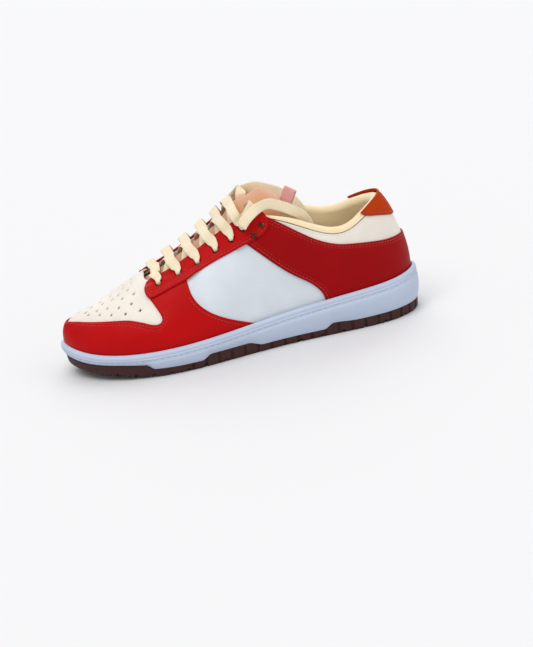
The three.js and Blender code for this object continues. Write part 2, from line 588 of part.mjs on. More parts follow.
// ---------------------------------------------------------------- lace
// Each stop is a point of the route with the direction of the lace's width and its width there.
const laceTop = OVERLAY[1] + CLEARANCE + LACE_THICKNESS / 2 + 0.7;
const underEyestay = (VAMP_LINING[0] - TONGUE_DROP) / 2;
const sideOf = (u, side) => (side < 0 ? u : STATIONS - u);
function onWall(u, v, w, side, width = LACE_WIDTH, through = false) {
  const s = sideOf(u, side);
  const normal = wallNormal(s, v);
  const rise = w > 1 ? eyestayRise(u, v) : 0;
  const along = wallPoint(s + 1e-3, v).sub(wallPoint(s - 1e-3, v)).normalize();
  return { at: smoothWall(s, v, w + rise), face: normal, along, width, through };
}
function onTongue(u, across, height) {
  const along = (TONGUE_FREE_START * (TONGUE_BASE_U - u)) / (TONGUE_BASE_U - TONGUE_TOP_U);
  return { at: tongueAt(along, across, -height), face: tongueNormal(along, across), width: LACE_WIDTH };
}
const edgeV = (u) => {
  for (let k = 1; k < throatEdge.length; k++)
    if (u <= throatEdge[k][0]) {
      const [[u0, v0], [u1, v1]] = [throatEdge[k - 1], throatEdge[k]];
      return mix(v0, v1, (u - u0) / (u1 - u0));
    }
  return 1;
};
// Down through one eyelet from outside, then back up between lining and tongue.
function throughEyelet([u, v], side) {
  return [
    onWall(u, v + 0.035, laceTop, side, LACE_WIDTH * 0.8),
    onWall(u, v + 0.006, laceTop - 0.5, side, LACE_BUNCHED),
    onWall(u, v, 1.6, side, LACE_BUNCHED, true),
    onWall(u, v, -1.2, side, LACE_BUNCHED, true),
    onWall(u, v + 0.008, underEyestay + 0.3, side, LACE_BUNCHED * 1.1),
    onWall(u, v + 0.035, underEyestay, side, LACE_WIDTH * 0.75),
    onWall(u - 0.02, edgeV(u) - 0.02, underEyestay, side),
  ];
}
// Over the tongue from the eyestay edge on one side to the eyelet of the next row on the other side.
function crossOver(from, to, side, height) {
  const u = (share) => mix(from[0], to[0], share);
  const rest = LACE_THICKNESS / 2 + 0.5;
  return [
    onTongue(u(0.22), side * 0.42, rest),
    onTongue(u(0.34), side * 0.26, mix(rest, height, 0.6)),
    onTongue(u(0.46), side * 0.08, height),
    onTongue(u(0.55), -side * 0.1, height + 0.3),
    onWall(u(0.78), edgeV(u(0.78)) + 0.012, laceTop + 2.5, -side),
    onWall(u(0.9), mix(edgeV(u(0.9)), to[1], 0.35), laceTop + 0.3, -side),
  ];
}
function rimPoint(u, out, up, side, width = LACE_WIDTH) {
  const s = sideOf(u, side);
  const n = outward(s);
  return { at: topPoint(s).addScaledVector(n, out).addScaledVector(UP, up), face: n, width };
}
// From the last eyelet: out over the edge, a hanging bight, then back along the collar and into the shoe.
const tailEnd = (side) => [rimPoint(2.22, -15.5, -10, side), rimPoint(2.2, -16, -19, side, LACE_BUNCHED)];
const freeEnd = (side) => [
  onWall(3.17, 0.955, underEyestay, side),
  rimPoint(3.1, -2, 3.2, side), rimPoint(3.08, 5, 5.2, side), onWall(3.13, 0.96, laceTop + 4.2, side),
  onWall(3.2, 0.91, laceTop + 4.0, side), onWall(3.26, 0.87, laceTop + 4.6, side),
  onWall(3.27, 0.86, laceTop + 6.6, side), onWall(3.2, 0.9, laceTop + 8.2, side),
  onWall(3.1, 0.95, laceTop + 8.0, side), rimPoint(2.98, 8, 3.5, side), rimPoint(2.85, 3.5, 5.6, side),
  rimPoint(2.7, -0.5, 5.6, side), rimPoint(2.5, -4.5, 4.8, side), rimPoint(2.36, -9.5, 2.6, side),
  rimPoint(2.27, -13.5, -2.5, side), ...tailEnd(side),
];
function laceHalf(side) {
  const stops = [onWall(4.75, 0.8, laceTop + 0.6, side), ...throughEyelet(eyelets[0], side)];
  let now = side;
  for (let row = 1; row < eyelets.length; row++) {
    const upper = (row % 2 ? 1 : -1) * side > 0;
    stops.push(...crossOver(eyelets[row - 1], eyelets[row], now, upper ? 4.5 : 2.4));
    now = -now;
    stops.push(...throughEyelet(eyelets[row], now));
  }
  stops.push(...freeEnd(now));
  return stops;
}
const bar = [-0.3, 0, 0.3].map((across) => onTongue(4.78, across, 5 - 9 * across * across));
const laceStops = [...laceHalf(-1).reverse(), ...bar, ...laceHalf(1)];

// A flat section swept along the stops, its width kept square to the route.
function laceGeometry(stops) {
  const sides = 6;
  const points = [];
  const faces = [];
  let lastWidth = null;
  stops.forEach((stop, k) => {
    const before = stops[Math.max(k - 1, 0)].at;
    const after = stops[Math.min(k + 1, stops.length - 1)].at;
    const tangent = after.clone().sub(before).normalize();
    const width = stop.through ? stop.along.clone() : stop.face.clone().cross(tangent);
    width.addScaledVector(tangent, -width.dot(tangent)).normalize();
    if (lastWidth && width.dot(lastWidth) < 0) width.negate();
    lastWidth = width;
    const thickness = tangent.clone().cross(width).normalize();
    const bunch = stop.width < LACE_WIDTH * 0.6 ? 1.5 : 1;
    for (let i = 0; i < sides; i++) {
      const angle = (2 * Math.PI * (i + 0.5)) / sides;
      points.push(stop.at.clone()
        .addScaledVector(width, (Math.cos(angle) / Math.cos(Math.PI / sides)) * stop.width / 2)
        .addScaledVector(thickness, (Math.sin(angle) / Math.sin((3 * Math.PI) / sides)) * LACE_THICKNESS * bunch / 2));
    }
  });
  const last = stops.length - 1;
  for (let k = 0; k < last; k++)
    for (let i = 0; i < sides; i++) {
      const [a, b] = [k * sides + i, k * sides + ((i + 1) % sides)];
      faces.push([a, b, b + sides], [a, b + sides, a + sides]);
    }
  for (let i = 1; i < sides - 1; i++) {
    faces.push([0, i + 1, i]);
    faces.push([last * sides, last * sides + i, last * sides + i + 1]);
  }
  return facingOut(solidFrom(points, faces));
}
function aglet(side) {
  const [before, end] = tailEnd(side).map((stop) => stop.at);
  const direction = end.clone().sub(before).normalize();
  const geometry = new THREE.CylinderGeometry(AGLET_DIAMETER / 2, AGLET_DIAMETER / 2, AGLET_LENGTH, 12);
  const middle = end.clone().addScaledVector(direction, CLEARANCE + AGLET_LENGTH / 2);
  geometry.applyQuaternion(new THREE.Quaternion().setFromUnitVectors(V(0, 1, 0), direction));
  return geometry.translate(middle.x, middle.y, middle.z);
}

// ---------------------------------------------------------------- the assembly
const shoe = new THREE.Group();
function add(name, geometry, color, roughness = 0.6, metalness = 0) {
  const material = new THREE.MeshStandardMaterial({ color, roughness, metalness });
  const mesh = new THREE.Mesh(geometry, material);
  mesh.name = name;
  shoe.add(mesh);
}
const RED = 0xd41a20;
const WHITE = 0xe2e4e4;
const CREAM = 0xe8cf9c;
const BROWN = 0x3f221c;

add("outsole", fromManifold(outsoleSolid), BROWN, 0.75);
add("cupsole", cupGeometry, 0xd6dde6, 0.55);
add("midsole_wedge", wedgeGeometry, 0xf0f0ec, 0.8);
add("insole_board", boardGeometry, 0xb9a58a, 0.9);
add("sockliner", socklinerGeometry, CREAM, 0.9);

const holeOutlines = (places, diameter, sides) => places.map((place) => punch(place, diameter, sides));
const eyeletHoles = holeOutlines([...eyelets, ...spareHoles], EYELET_DIAMETER);
const innerHoles = holeOutlines([...eyelets, ...spareHoles], INNER_HOLE_DIAMETER, 6);
const toeBoxHoles = holeOutlines(bothSidesOf(perforations), PERFORATION_DIAMETER, 5);
const firstEyelets = holeOutlines(bothSidesOf(eyelets.slice(0, 2)), INNER_HOLE_DIAMETER, 6);

add("toe_box", panel(toeBoxOutline, [...toeBoxHoles, ...firstEyelets], between(...BASE),
  { closedRidge: true }), WHITE, 0.5);
add("toe_overlay", panel(toeOverlayOutline, [], between(...OVERLAY)), RED, 0.5);
for (const [side, turn] of [["lateral", (o) => o], ["medial", otherSide]]) {
  const holes = eyeletHoles.map(turn);
  const behind = innerHoles.map(turn);
  add("quarter_" + side, panel(turn(quarterOutline), behind, between(...BASE)), 0xd6dde4, 0.5);
  add("eyestay_" + side, panel(turn(eyestayOutline), holes, eyestayAt, { finer: 2 }), RED, 0.5);
  add("heel_band_" + side, panel(turn(bandOutline), behind, between(...OVERLAY)), RED, 0.5);
  add("collar_panel_" + side, panel(turn(collarPanelOutline), behind, between(...BASE)), WHITE, 0.5);
  add("eyelet_tape_" + side, panel(turn(tapeOutline), behind, between(...BEHIND)), 0xd8d2c4, 0.9);
}
add("heel_tab", panel(tabOutline, [], between(...OVERLAY)), 0xb0441c, 0.55);

const allEyelets = [...innerHoles, ...innerHoles.map((hole) => hole.map(([u, v]) => [-u, v]).reverse())];
add("collar_lining", panel(liningOutline, allEyelets, liningAt, { vMost: 1.25 }), CREAM, 0.9);
const foamSide = [[2.85, collarEdge - 0.01], [2.8, 0.75], [2.5, 0.5]];
add("collar_foam", panel([...foamSide, ...foamSide.map(([u, v]) => [-u, v]).reverse()], [], foamAt), 0xefe9d8, 0.95);
add("heel_counter", panel(
  [[1.9, 0], [1.8, 0.25], [1.4, 0.4], [0.8, 0.47], [-0.8, 0.47], [-1.4, 0.4], [-1.8, 0.25], [-1.9, 0]],
  [], between(-CLEARANCE - COUNTER, -CLEARANCE)), 0xcfc6b4, 0.7);
add("vamp_lining", panel(vampLiningOutline, firstEyelets, between(...VAMP_LINING), { closedRidge: true }), CREAM, 0.9);
add("toe_puff", panel(puffOutline, [], between(...BEHIND), { closedRidge: true }), 0xcfc6b4, 0.7);

// Tongue: outer shell, foam and lining, widest and thickest at the free top.
const foamDepth = (along) => TONGUE_FOAM * mix(0.5, 1, smooth(along, 0.1, 0.8));
const tongueSheet = (first, last) => sheet((along, s, layer) =>
  tongueAt(along, 2 * s - 1, layer ? last(along) : first(along)), 11, 10);
add("tongue_shell", tongueSheet(() => 0, () => TONGUE_SHELL), CREAM, 0.9);
add("tongue_foam", tongueSheet(() => TONGUE_SHELL + CLEARANCE,
  (a) => TONGUE_SHELL + CLEARANCE + foamDepth(a)), 0xefe9d8, 0.95);
add("tongue_lining", tongueSheet((a) => TONGUE_SHELL + 2 * CLEARANCE + foamDepth(a),
  (a) => TONGUE_SHELL + 2 * CLEARANCE + foamDepth(a) + LINING), CREAM, 0.9);

// Folded webbing tag that stands on the tongue's top edge.
const TAG = { width: 12, height: 13, thickness: 1.6, lean: Math.PI / 3, turn: Math.PI / 4 };
const tagFoot = tongueAt(1, 0, TONGUE_SHELL + TONGUE_FOAM);
const tagGeometry = new THREE.BoxGeometry(TAG.height, TAG.width, TAG.thickness)
  .rotateX(TAG.turn)
  .rotateY(-TAG.lean)
  .translate(tagFoot.x + TAG.width / 2 + 4 * CLEARANCE, tagFoot.y, tagFoot.z + TAG.height / 6);
add("tongue_label", tagGeometry, 0xe9a0a0, 0.8);

add("lace", laceGeometry(laceStops), CREAM, 0.9);
add("aglet_lateral", aglet(-1), 0xe9dcc0, 0.3);
add("aglet_medial", aglet(1), 0xe9dcc0, 0.3);

// The footprint is centred on the origin.
const box = new THREE.Box3().setFromObject(shoe);
shoe.position.set(-(box.min.x + box.max.x) / 2, -(box.min.y + box.max.y) / 2, -box.min.z);

export default shoe;
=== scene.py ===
# Low-top leather lace-up shoe, left foot: a brown rubber outsole under a stitched white cup, leather panels
# sewn in layers over a padded lining, a padded tongue and one flat cotton lace.
# Built in the order that it is made. Millimetres become metres where a mesh is written.
import math

import bpy
import numpy as np
from mathutils import Matrix, Vector, geometry


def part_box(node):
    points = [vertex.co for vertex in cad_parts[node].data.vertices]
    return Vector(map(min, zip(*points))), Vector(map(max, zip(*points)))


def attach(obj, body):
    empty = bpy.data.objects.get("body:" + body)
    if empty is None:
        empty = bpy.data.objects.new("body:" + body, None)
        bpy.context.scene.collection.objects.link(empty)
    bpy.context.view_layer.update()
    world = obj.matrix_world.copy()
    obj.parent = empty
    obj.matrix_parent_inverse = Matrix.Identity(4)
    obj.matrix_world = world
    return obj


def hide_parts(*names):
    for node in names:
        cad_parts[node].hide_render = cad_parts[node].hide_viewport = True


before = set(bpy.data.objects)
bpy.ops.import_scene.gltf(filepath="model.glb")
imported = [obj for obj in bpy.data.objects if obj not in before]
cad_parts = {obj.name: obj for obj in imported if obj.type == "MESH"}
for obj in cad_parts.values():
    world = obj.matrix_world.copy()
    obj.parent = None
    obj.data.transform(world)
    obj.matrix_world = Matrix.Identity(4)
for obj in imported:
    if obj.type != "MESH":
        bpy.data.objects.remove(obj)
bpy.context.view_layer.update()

# ---------------------------------------------------------------- outsole
# One compression-moulded piece of brown rubber, glued to the cup. Its side is low, steps down twice,
# and is notched upright from the waist to the heel; flex grooves cross its underside.
MM = 0.001
STATIONS = 14  # round the shoe: 0 heel back, 1 to 6 outer side, 7 toe tip, 8 to 13 inner side
SOLE_LENGTH = 300
OUTSOLE_PLATE, TREAD_DEPTH = 4.0, 2.2
CENTRED_Y = -0.2014  # brings the middle of the footprint onto the origin


def mix(a, b, t):
    return a + (b - a) * t


def ease(x, low, high):
    t = np.clip((np.asarray(x, float) - low) / (high - low), 0, 1)
    return t * t * (3 - 2 * t)


def unit(vectors):
    return vectors / np.maximum(np.linalg.norm(vectors, axis=-1, keepdims=True), 1e-12)


def on_cubic(cubic, t):
    return ((cubic[..., 0] * t + cubic[..., 1]) * t + cubic[..., 2]) * t + cubic[..., 3]


def round_the_shoe(values):
    """A closed smooth curve through one value at each station, kept as a cubic for each gap."""
    values = np.array(values, float)
    knots = values.copy()
    for _ in range(60):
        knots = (6 * values - np.roll(knots, 1) - np.roll(knots, -1)) / 4
    a, b, c, d = np.roll(knots, 1), knots, np.roll(knots, -1), np.roll(knots, -2)
    cubics = np.stack([d - a + 3 * (b - c), 3 * (a + c) - 6 * b, 3 * (c - a), a + 4 * b + c], -1) / 6

    def at(u):
        gap = np.floor(u)
        return on_cubic(cubics[gap.astype(int) % STATIONS], u - gap)
    at.cubics = cubics
    return at


def both_sides(values):
    return values + values[1:7][::-1]


sole_x = round_the_shoe([150, 127, 80, 22, -40, -92, -132, -150, -135, -91, -38, 22, 80, 127])
sole_y = round_the_shoe([1, -31, -38.5, -40.5, -52, -50, -27, 11, 43, 54, 50, 39, 37.5, 32])
lip_height = round_the_shoe(both_sides([36.5, 34.5, 31.5, 26.5, 22.5, 21.5, 23.5, 27]))


def outward(u):
    gap = np.floor(u)
    t, gap = u - gap, gap.astype(int) % STATIONS
    cubics = sole_x.cubics[gap], sole_y.cubics[gap]
    dx, dy = ((3 * c[..., 0] * t + 2 * c[..., 1]) * t + c[..., 2] for c in cubics)
    return unit(np.stack([-dy, dx, 0 * dx], -1))


def outline_point(u, inset, z):
    plan = np.stack([sole_x(u), sole_y(u), 0 * u], -1) - outward(u) * np.asarray(inset)[..., None]
    plan[..., 2] = z
    return plan


def sole_bottom(x):
    toe_spring, rise_start = 10, -50
    return toe_spring * np.maximum(0, (rise_start - x) / (SOLE_LENGTH / 2 + rise_start)) ** 2


def side_height(x):
    from_toe = 0.5 + x / SOLE_LENGTH
    front = ease(from_toe, 0.2, 0.225) * (1 - ease(from_toe, 0.355, 0.385))
    rear = ease(from_toe, 0.485, 0.53) * (1 - ease(from_toe, 0.7, 0.73))
    at_toe, at_ball, front_step, rear_step, heel_step = 7.2, 9.8, 3.8, 4, 1.4
    full = mix(at_toe, at_ball, ease(from_toe, 0.02, 0.16))
    return full - front_step * front - rear_step * rear - heel_step * ease(from_toe, 0.73, 0.8)


def deselect_all():
    if bpy.context.object and bpy.context.object.mode != "OBJECT":
        bpy.ops.object.mode_set(mode="OBJECT")
    bpy.ops.object.select_all(action="DESELECT")


def spread_uv(mesh, uv):
    """Gives the mesh a UV map from one (u, v) for each vertex."""
    layer = mesh.uv_layers[0] if mesh.uv_layers else mesh.uv_layers.new(name="UVMap")
    corners = np.empty(len(mesh.loops), int)
    mesh.loops.foreach_get("vertex_index", corners)
    layer.data.foreach_set("uv", uv[corners].ravel())


def bent_grid(name, columns, rows, shape, uv_size=(1.0, 1.0)):
    """A grid primitive bent to shape(s, t), with s and t from 0 to 1 along its columns and rows."""
    deselect_all()
    bpy.ops.mesh.primitive_grid_add(x_subdivisions=columns, y_subdivisions=rows, size=1, location=(0, 0, 0))
    piece = bpy.context.object
    piece.name = piece.data.name = name
    flat = np.empty(len(piece.data.vertices) * 3)
    piece.data.vertices.foreach_get("co", flat)
    flat = flat.reshape(-1, 3)
    s, t = np.round(flat[:, 0] + 0.5, 6), np.round(flat[:, 1] + 0.5, 6)
    points = shape(s, t).copy()
    points[:, 1] += CENTRED_Y
    piece.data.vertices.foreach_set("co", (points * MM).ravel())
    spread_uv(piece.data, np.stack([s, t], -1) * uv_size)
    return piece


def closed_piece(name, parts, merge=2e-6, crease=40):
    """Joins sheets that meet edge to edge into one closed body whose faces point outwards."""
    deselect_all()
    for part in parts:
        part.select_set(True)
    bpy.context.view_layer.objects.active = parts[0]
    if len(parts) > 1:
        bpy.ops.object.join()
    piece = bpy.context.object
    piece.name = piece.data.name = name
    bpy.ops.object.mode_set(mode="EDIT")
    bpy.ops.mesh.select_all(action="SELECT")
    bpy.ops.mesh.remove_doubles(threshold=merge)
    bpy.ops.mesh.dissolve_degenerate(threshold=1e-7)
    bpy.ops.mesh.normals_make_consistent(inside=False)
    bpy.ops.object.mode_set(mode="OBJECT")
    bpy.ops.object.shade_smooth_by_angle(angle=math.radians(crease))
    return piece


def ringed_body(name, rings, columns, across, bottom=None, top=None, crease=40):
    """A body of rings round the sole, [(inset, height), ...] as functions of station and x, closed over
    and under by strips from side to side. bottom and top move those strips up or down."""
    def ring_points(index, u):
        low = np.clip(np.floor(index).astype(int), 0, len(rings) - 1)
        out = np.zeros(u.shape + (3,))
        for r in np.unique(low):
            here = low == r
            inset = rings[r][0]
            inset = inset(u[here]) if callable(inset) else np.full(here.sum(), float(inset))
            flat = outline_point(u[here], inset, 0)
            flat[..., 2] = rings[r][1](u[here], flat[..., 0])
            out[here] = flat
        return out

    last = len(rings) - 1
    sides = bent_grid(name, columns, last, lambda s, t: ring_points(np.round(t * last), s * STATIONS))

    def strip(ring, lift):
        def shape(s, t):
            u = s * STATIONS / 2
            index = np.full(s.shape, ring)
            flat = mix(ring_points(index, u), ring_points(index, STATIONS - u), t[:, None])
            if lift:
                inner = np.minimum(np.minimum(t, 1 - t), np.minimum(s, 1 - s)) > 1e-5
                flat[..., 2] += np.where(inner, lift(flat, s, t), 0)
            return flat
        return bent_grid(name + str(ring), columns // 2, across, shape)
    return closed_piece(name, [sides, strip(0, bottom), strip(last, top)], crease=crease)


def new_material(name, roughness, **sockets):
    material = bpy.data.materials.new(name)
    material.use_nodes = True
    shader = material.node_tree.nodes["Principled BSDF"]
    shader.inputs["Roughness"].default_value = roughness
    for socket, value in sockets.items():
        shader.inputs[socket.replace("_", " ")].default_value = value
    return material, shader


def add_node(material, kind, links=(), **settings):
    """Adds a node; links are (input name or number, output socket)."""
    node = material.node_tree.nodes.new(kind)
    for key, value in settings.items():
        if hasattr(node, key):
            setattr(node, key, value)
        else:
            node.inputs[key.replace("_", " ")].default_value = value
    for socket, source in links:
        material.node_tree.links.new(source, node.inputs[socket])
    return node


def object_space(material):
    return add_node(material, "ShaderNodeTexCoord").outputs["Object"]


def tinted(material, shader, factor, dark, light):
    """Colour between dark and light by factor, a 0 to 1 output."""
    ramp = add_node(material, "ShaderNodeValToRGB", [(0, factor)])
    ramp.color_ramp.elements[0].color = (*dark, 1)
    ramp.color_ramp.elements[1].color = (*light, 1)
    material.node_tree.links.new(ramp.outputs[0], shader.inputs["Base Color"])


def noise(material, place, scale, detail, **settings):
    links = [("Vector", place)]
    return add_node(material, "ShaderNodeTexNoise", links, Scale=scale, Detail=detail, **settings).outputs[0]


def combined(material, operation, first, second):
    return add_node(material, "ShaderNodeMath", [(0, first), (1, second)], operation=operation).outputs[0]


def uneven_gloss(material, shader, factor, low, high):
    """Roughness between low and high by factor."""
    rough = add_node(material, "ShaderNodeMapRange", [("Value", factor)])
    rough.inputs["To Min"].default_value, rough.inputs["To Max"].default_value = low, high
    material.node_tree.links.new(rough.outputs[0], shader.inputs["Roughness"])


def bumped(material, shader, heights, distance):
    """Bump from a list of (output, share), in metres of height."""
    total = None
    for output, share in heights:
        scaled = add_node(material, "ShaderNodeMath", [(0, output)], operation="MULTIPLY").outputs[0]
        scaled.node.inputs[1].default_value = share
        total = scaled if total is None else combined(material, "ADD", total, scaled)
    bump = add_node(material, "ShaderNodeBump", [("Height", total)], Distance=distance, Strength=1.0)
    material.node_tree.links.new(bump.outputs[0], shader.inputs["Normal"])


def shade(colour, amount):
    return tuple(min(1.0, c * amount) for c in colour)


def srgb(r, g, b):
    return tuple(((c / 255 + 0.055) / 1.055) ** 2.4 if c > 10 else c / 255 / 12.92 for c in (r, g, b))


def rubber(name, colour, roughness, grain, dust):
    """Moulded rubber: fine mould texture, cloudy sheen, and faint clouding of its tone at random, by dust."""
    material, shader = new_material(name, roughness, Specular_IOR_Level=0.3)
    place = object_space(material)
    cloud, fine = noise(material, place, 38.0, 6.0), noise(material, place, grain, 3.0)
    tinted(material, shader, cloud, shade(colour, 1 - dust), shade(colour, 1 + 0.5 * dust))
    uneven_gloss(material, shader, cloud, roughness - 0.1, roughness + 0.14)
    bumped(material, shader, [(fine, 1.0), (cloud, 0.6)], 0.00012)
    return material


def finish_piece(piece, material, body, slot, *nodes):
    piece.data.materials.clear()
    piece.data.materials.append(material)
    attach(piece, body)
    if nodes:
        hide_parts(*nodes)


TREAD_AT = np.array([-126, -112, -98, -84, -70, -56, -42, -24, 40, 58, 76, 94, 112, 130])
around = np.linspace(0, STATIONS, 2801)
run_mm = np.concatenate([[0], np.cumsum(np.hypot(np.diff(sole_x(around)), np.diff(sole_y(around))))])


def run_at(u):
    return np.interp(np.mod(u, STATIONS), around, run_mm)


def tread_groove(x):
    nearest = np.abs(np.asarray(x)[..., None] - TREAD_AT).min(-1)
    return 1 - ease(nearest, 1.1, 1.7)


def side_notch(u):
    pitch, width, depth = 11.4, 1.9, 1.3
    run = run_at(u)
    away = np.abs(np.mod(run, pitch) - pitch / 2)
    rearward = ease(sole_x(u), -62, -50)
    return depth * rearward * (1 - ease(away, width * 0.3, width * 0.75))


def outsole_ring(share):
    """share 0 to 1 from the ground edge to the top of the rubber's side."""
    def inset(u):
        base = np.interp(share, [0, 0.04, 0.1, 0.2, 1], [5.2, 4.75, 4.3, 3.85, 3.0])
        top_round = 0.35 * max(0, (share - 0.93) / 0.07) ** 2
        return base + top_round + side_notch(u) * float(0.05 < share < 0.99)
    def height(u, x):
        teeth = 0.7 * ease(np.cos(run_at(u) * 2 * math.pi / 3.9), 0.2, 0.7) * (1 - ease(x, -70, -55))
        low = sole_bottom(x) + np.maximum(TREAD_DEPTH * tread_groove(x), teeth)
        return np.maximum(sole_bottom(x) + share * side_height(x), low * (share < 0.5))
    return inset, height


def tread(flat, s, t):
    groove = tread_groove(flat[:, 0])
    ribs = 0.45 * (np.sin(flat[:, 0] * 2 * math.pi / 3.4) > 0.2)
    return TREAD_DEPTH * groove + ribs * (np.minimum(t, 1 - t) > 0.14) * (1 - groove)


outsole_rings = [outsole_ring(s) for s in (0, 0.04, 0.1, 0.16, 0.24, 0.35, 0.5, 0.65, 0.8, 0.9, 0.96, 1)]
outsole_rings += [(4.2, outsole_rings[-1][1]), (4.8, lambda u, x: sole_bottom(x) + OUTSOLE_PLATE)]
outsole = ringed_body("outsole_rubber", outsole_rings, 1400, 44, bottom=tread, crease=32)
finish_piece(outsole, rubber("brown rubber", srgb(62, 32, 28), 0.62, 1500.0, 0.22),
             "root", "outsole_rubber", "outsole")

# ---------------------------------------------------------------- cup sole
# The moulded white cup that holds the upper: a bulging wall with a rounded lip, and a groove below the lip
# where the wall is stitched to the upper. Foam and board lie inside it.
CLEARANCE = 0.3
CUP_FLOOR = 2.2
STITCH_DROP = 6.3  # stitch groove below the lip


def side_top(x):
    return sole_bottom(x) + side_height(x) + CLEARANCE


def cup_inset(u, drop):
    """How far in the wall is, drop millimetres below the lip."""
    x = sole_x(u)
    share = 1 - drop / np.maximum(lip_height(u) - side_top(x), 1)
    bulge = np.interp(share, [0, 0.05, 0.14, 0.3, 0.46, 0.62, 0.8, 0.92, 1],
                      [3.1, 2.5, 1.7, 0.75, 0.2, 0, 0.35, 0.75, 0.95])
    groove = 0.85 * np.exp(-(((drop - STITCH_DROP) / 0.95) ** 2))
    bead = 0.4 * np.exp(-(((drop - 3.6) / 0.55) ** 2))
    rounding = 2.3 * np.maximum(0, 1 - drop / 1.5) ** 2
    return bulge + groove + bead + rounding


def cup_ring(drop=None, share=None):
    def real_drop(u):
        wall = lip_height(u) - side_top(sole_x(u))
        return np.full(np.shape(u), float(drop)) if share is None else mix(8.0, wall, share)
    def height(u, x):
        return np.maximum(lip_height(u) - real_drop(u), side_top(x))
    return lambda u: cup_inset(u, real_drop(u)), height


def plate_top(u, x):
    return sole_bottom(x) + OUTSOLE_PLATE + CLEARANCE


cup_rings = [
    (5.2, plate_top), (4.6, lambda u, x: side_top(x)),
    *[cup_ring(share=s) for s in (1, 0.96, 0.88, 0.76, 0.62, 0.48, 0.34, 0.2, 0.08)],
    *[cup_ring(drop=d) for d in (7.5, 7.1, 6.7, 6.3, 5.9, 5.5, 5.1, 4.7, 4.3, 3.9, 3.6, 3.3, 3.0, 2.6,
                                 2.1, 1.6, 1.2, 0.8, 0.5, 0.25, 0.08)],
    (3.45, lambda u, x: lip_height(u)), (3.8, lambda u, x: lip_height(u) - 0.5),
    (4.9, lambda u, x: lip_height(u) - 7.8), (6.8, lambda u, x: plate_top(u, x) + CUP_FLOOR),
]
cup = ringed_body("cup_rubber", cup_rings, 560, 12, crease=40)
# The cup is white rubber; its darker blue-grey colour is partly painted shade.
finish_piece(cup, rubber("white rubber", srgb(184, 196, 216), 0.5, 900.0, 0.05),
             "root", "midsole_rubber", "cupsole")


def waves(material, place, scale, distortion, **settings):
    wave = add_node(material, "ShaderNodeTexWave", [("Vector", place)], Scale=scale, Distortion=distortion,
                    **settings)
    return wave.outputs[1]


def thread(name, colour):
    """Twisted polyester thread: a fine twist and a soft sheen."""
    material, shader = new_material(name, 0.55, Sheen_Weight=0.3)
    twist = waves(material, object_space(material), 600.0, 1.0)
    tinted(material, shader, twist, shade(colour, 0.8), shade(colour, 1.08))
    bumped(material, shader, [(twist, 1.0)], 0.00008)
    return material


def drawn_piece(name, points, faces):
    """A piece from points in millimetres and faces by point number."""
    points[:, 1] += CENTRED_Y
    mesh = bpy.data.meshes.new(name)
    mesh.from_pydata((points * MM).tolist(), [], faces)
    piece = bpy.data.objects.new(name, mesh)
    bpy.context.scene.collection.objects.link(piece)
    return piece


def stitch_row(name, centres, along, normal, length, radius, material, body, slot):
    """Copies of one rounded stitch, laid along a seam."""
    deselect_all()
    bpy.ops.mesh.primitive_uv_sphere_add(segments=6, ring_count=5, radius=1, rotation=(0, math.pi / 2, 0))
    model = bpy.context.object
    bpy.ops.object.transform_apply(location=True, rotation=True, scale=True)
    one = np.array([v.co for v in model.data.vertices])
    faces = [list(p.vertices) for p in model.data.polygons]
    bpy.data.objects.remove(model)
    one[:, 0] = np.sign(one[:, 0]) * np.abs(one[:, 0]) ** 0.6 * length / 2
    one[:, 1:] *= radius
    one[:, 2] -= 0.4 * radius * (one[:, 0] / (length / 2)) ** 4
    across = unit(np.cross(normal, along))
    up = unit(np.cross(along, across))
    points = (centres[:, None] + one[None, :, 0:1] * along[:, None] + one[None, :, 1:2] * across[:, None]
              + one[None, :, 2:3] * up[:, None]).reshape(-1, 3)
    faces = [[i + k * len(one) for i in face] for k in range(len(centres)) for face in faces]
    piece = drawn_piece(name, points, faces)
    deselect_all()
    piece.select_set(True)
    bpy.context.view_layer.objects.active = piece
    bpy.ops.object.mode_set(mode="EDIT")
    bpy.ops.mesh.select_all(action="SELECT")
    bpy.ops.mesh.normals_make_consistent(inside=False)
    bpy.ops.object.mode_set(mode="OBJECT")
    bpy.ops.object.shade_smooth()
    finish_piece(piece, material, body, slot)


def spaced(points, pitch):
    """Places every pitch millimetres along a dense 3-D path: (fraction indices, centres, directions)."""
    steps = np.linalg.norm(np.diff(points, axis=0), axis=1)
    run = np.concatenate([[0], np.cumsum(steps)])
    count = max(2, int(run[-1] / pitch))
    at = (np.arange(count) + 0.5) * run[-1] / count
    index = np.interp(at, run, np.arange(len(points)))
    behind, centres, ahead = (np.stack([np.interp(at + shift, run, points[:, k]) for k in range(3)], -1)
                              for shift in (-0.6, 0, 0.6))
    return index, centres, unit(ahead - behind)


SEAM_POINTS = 2400
ring_u = np.linspace(0, STATIONS, SEAM_POINTS)
seam = outline_point(ring_u, cup_inset(ring_u, np.full(ring_u.shape, STITCH_DROP)) - 0.12, 0)
seam[:, 2] = lip_height(ring_u) - STITCH_DROP
where, centres, along = spaced(seam, 5.2)
stitch_row("sole_stitching", centres, along, outward(np.interp(where, np.arange(SEAM_POINTS), ring_u)),
           4.2, 0.55, thread("white thread", srgb(206, 214, 226)), "root", "midsole_rubber")


def foam(name, colour, scale):
    """Open-cell foam or pressed board, by how fine its cells are."""
    material, shader = new_material(name, 0.95)
    place = object_space(material)
    cells = add_node(material, "ShaderNodeTexVoronoi", [("Vector", place)], Scale=scale)
    tinted(material, shader, noise(material, place, 60.0, 4.0), shade(colour, 0.86), shade(colour, 1.06))
    bumped(material, shader, [(cells.outputs[0], 1.0)], 0.0003)
    return material


def keep_node(node, material):
    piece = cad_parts[node]
    piece.data.materials.clear()
    piece.data.materials.append(material)


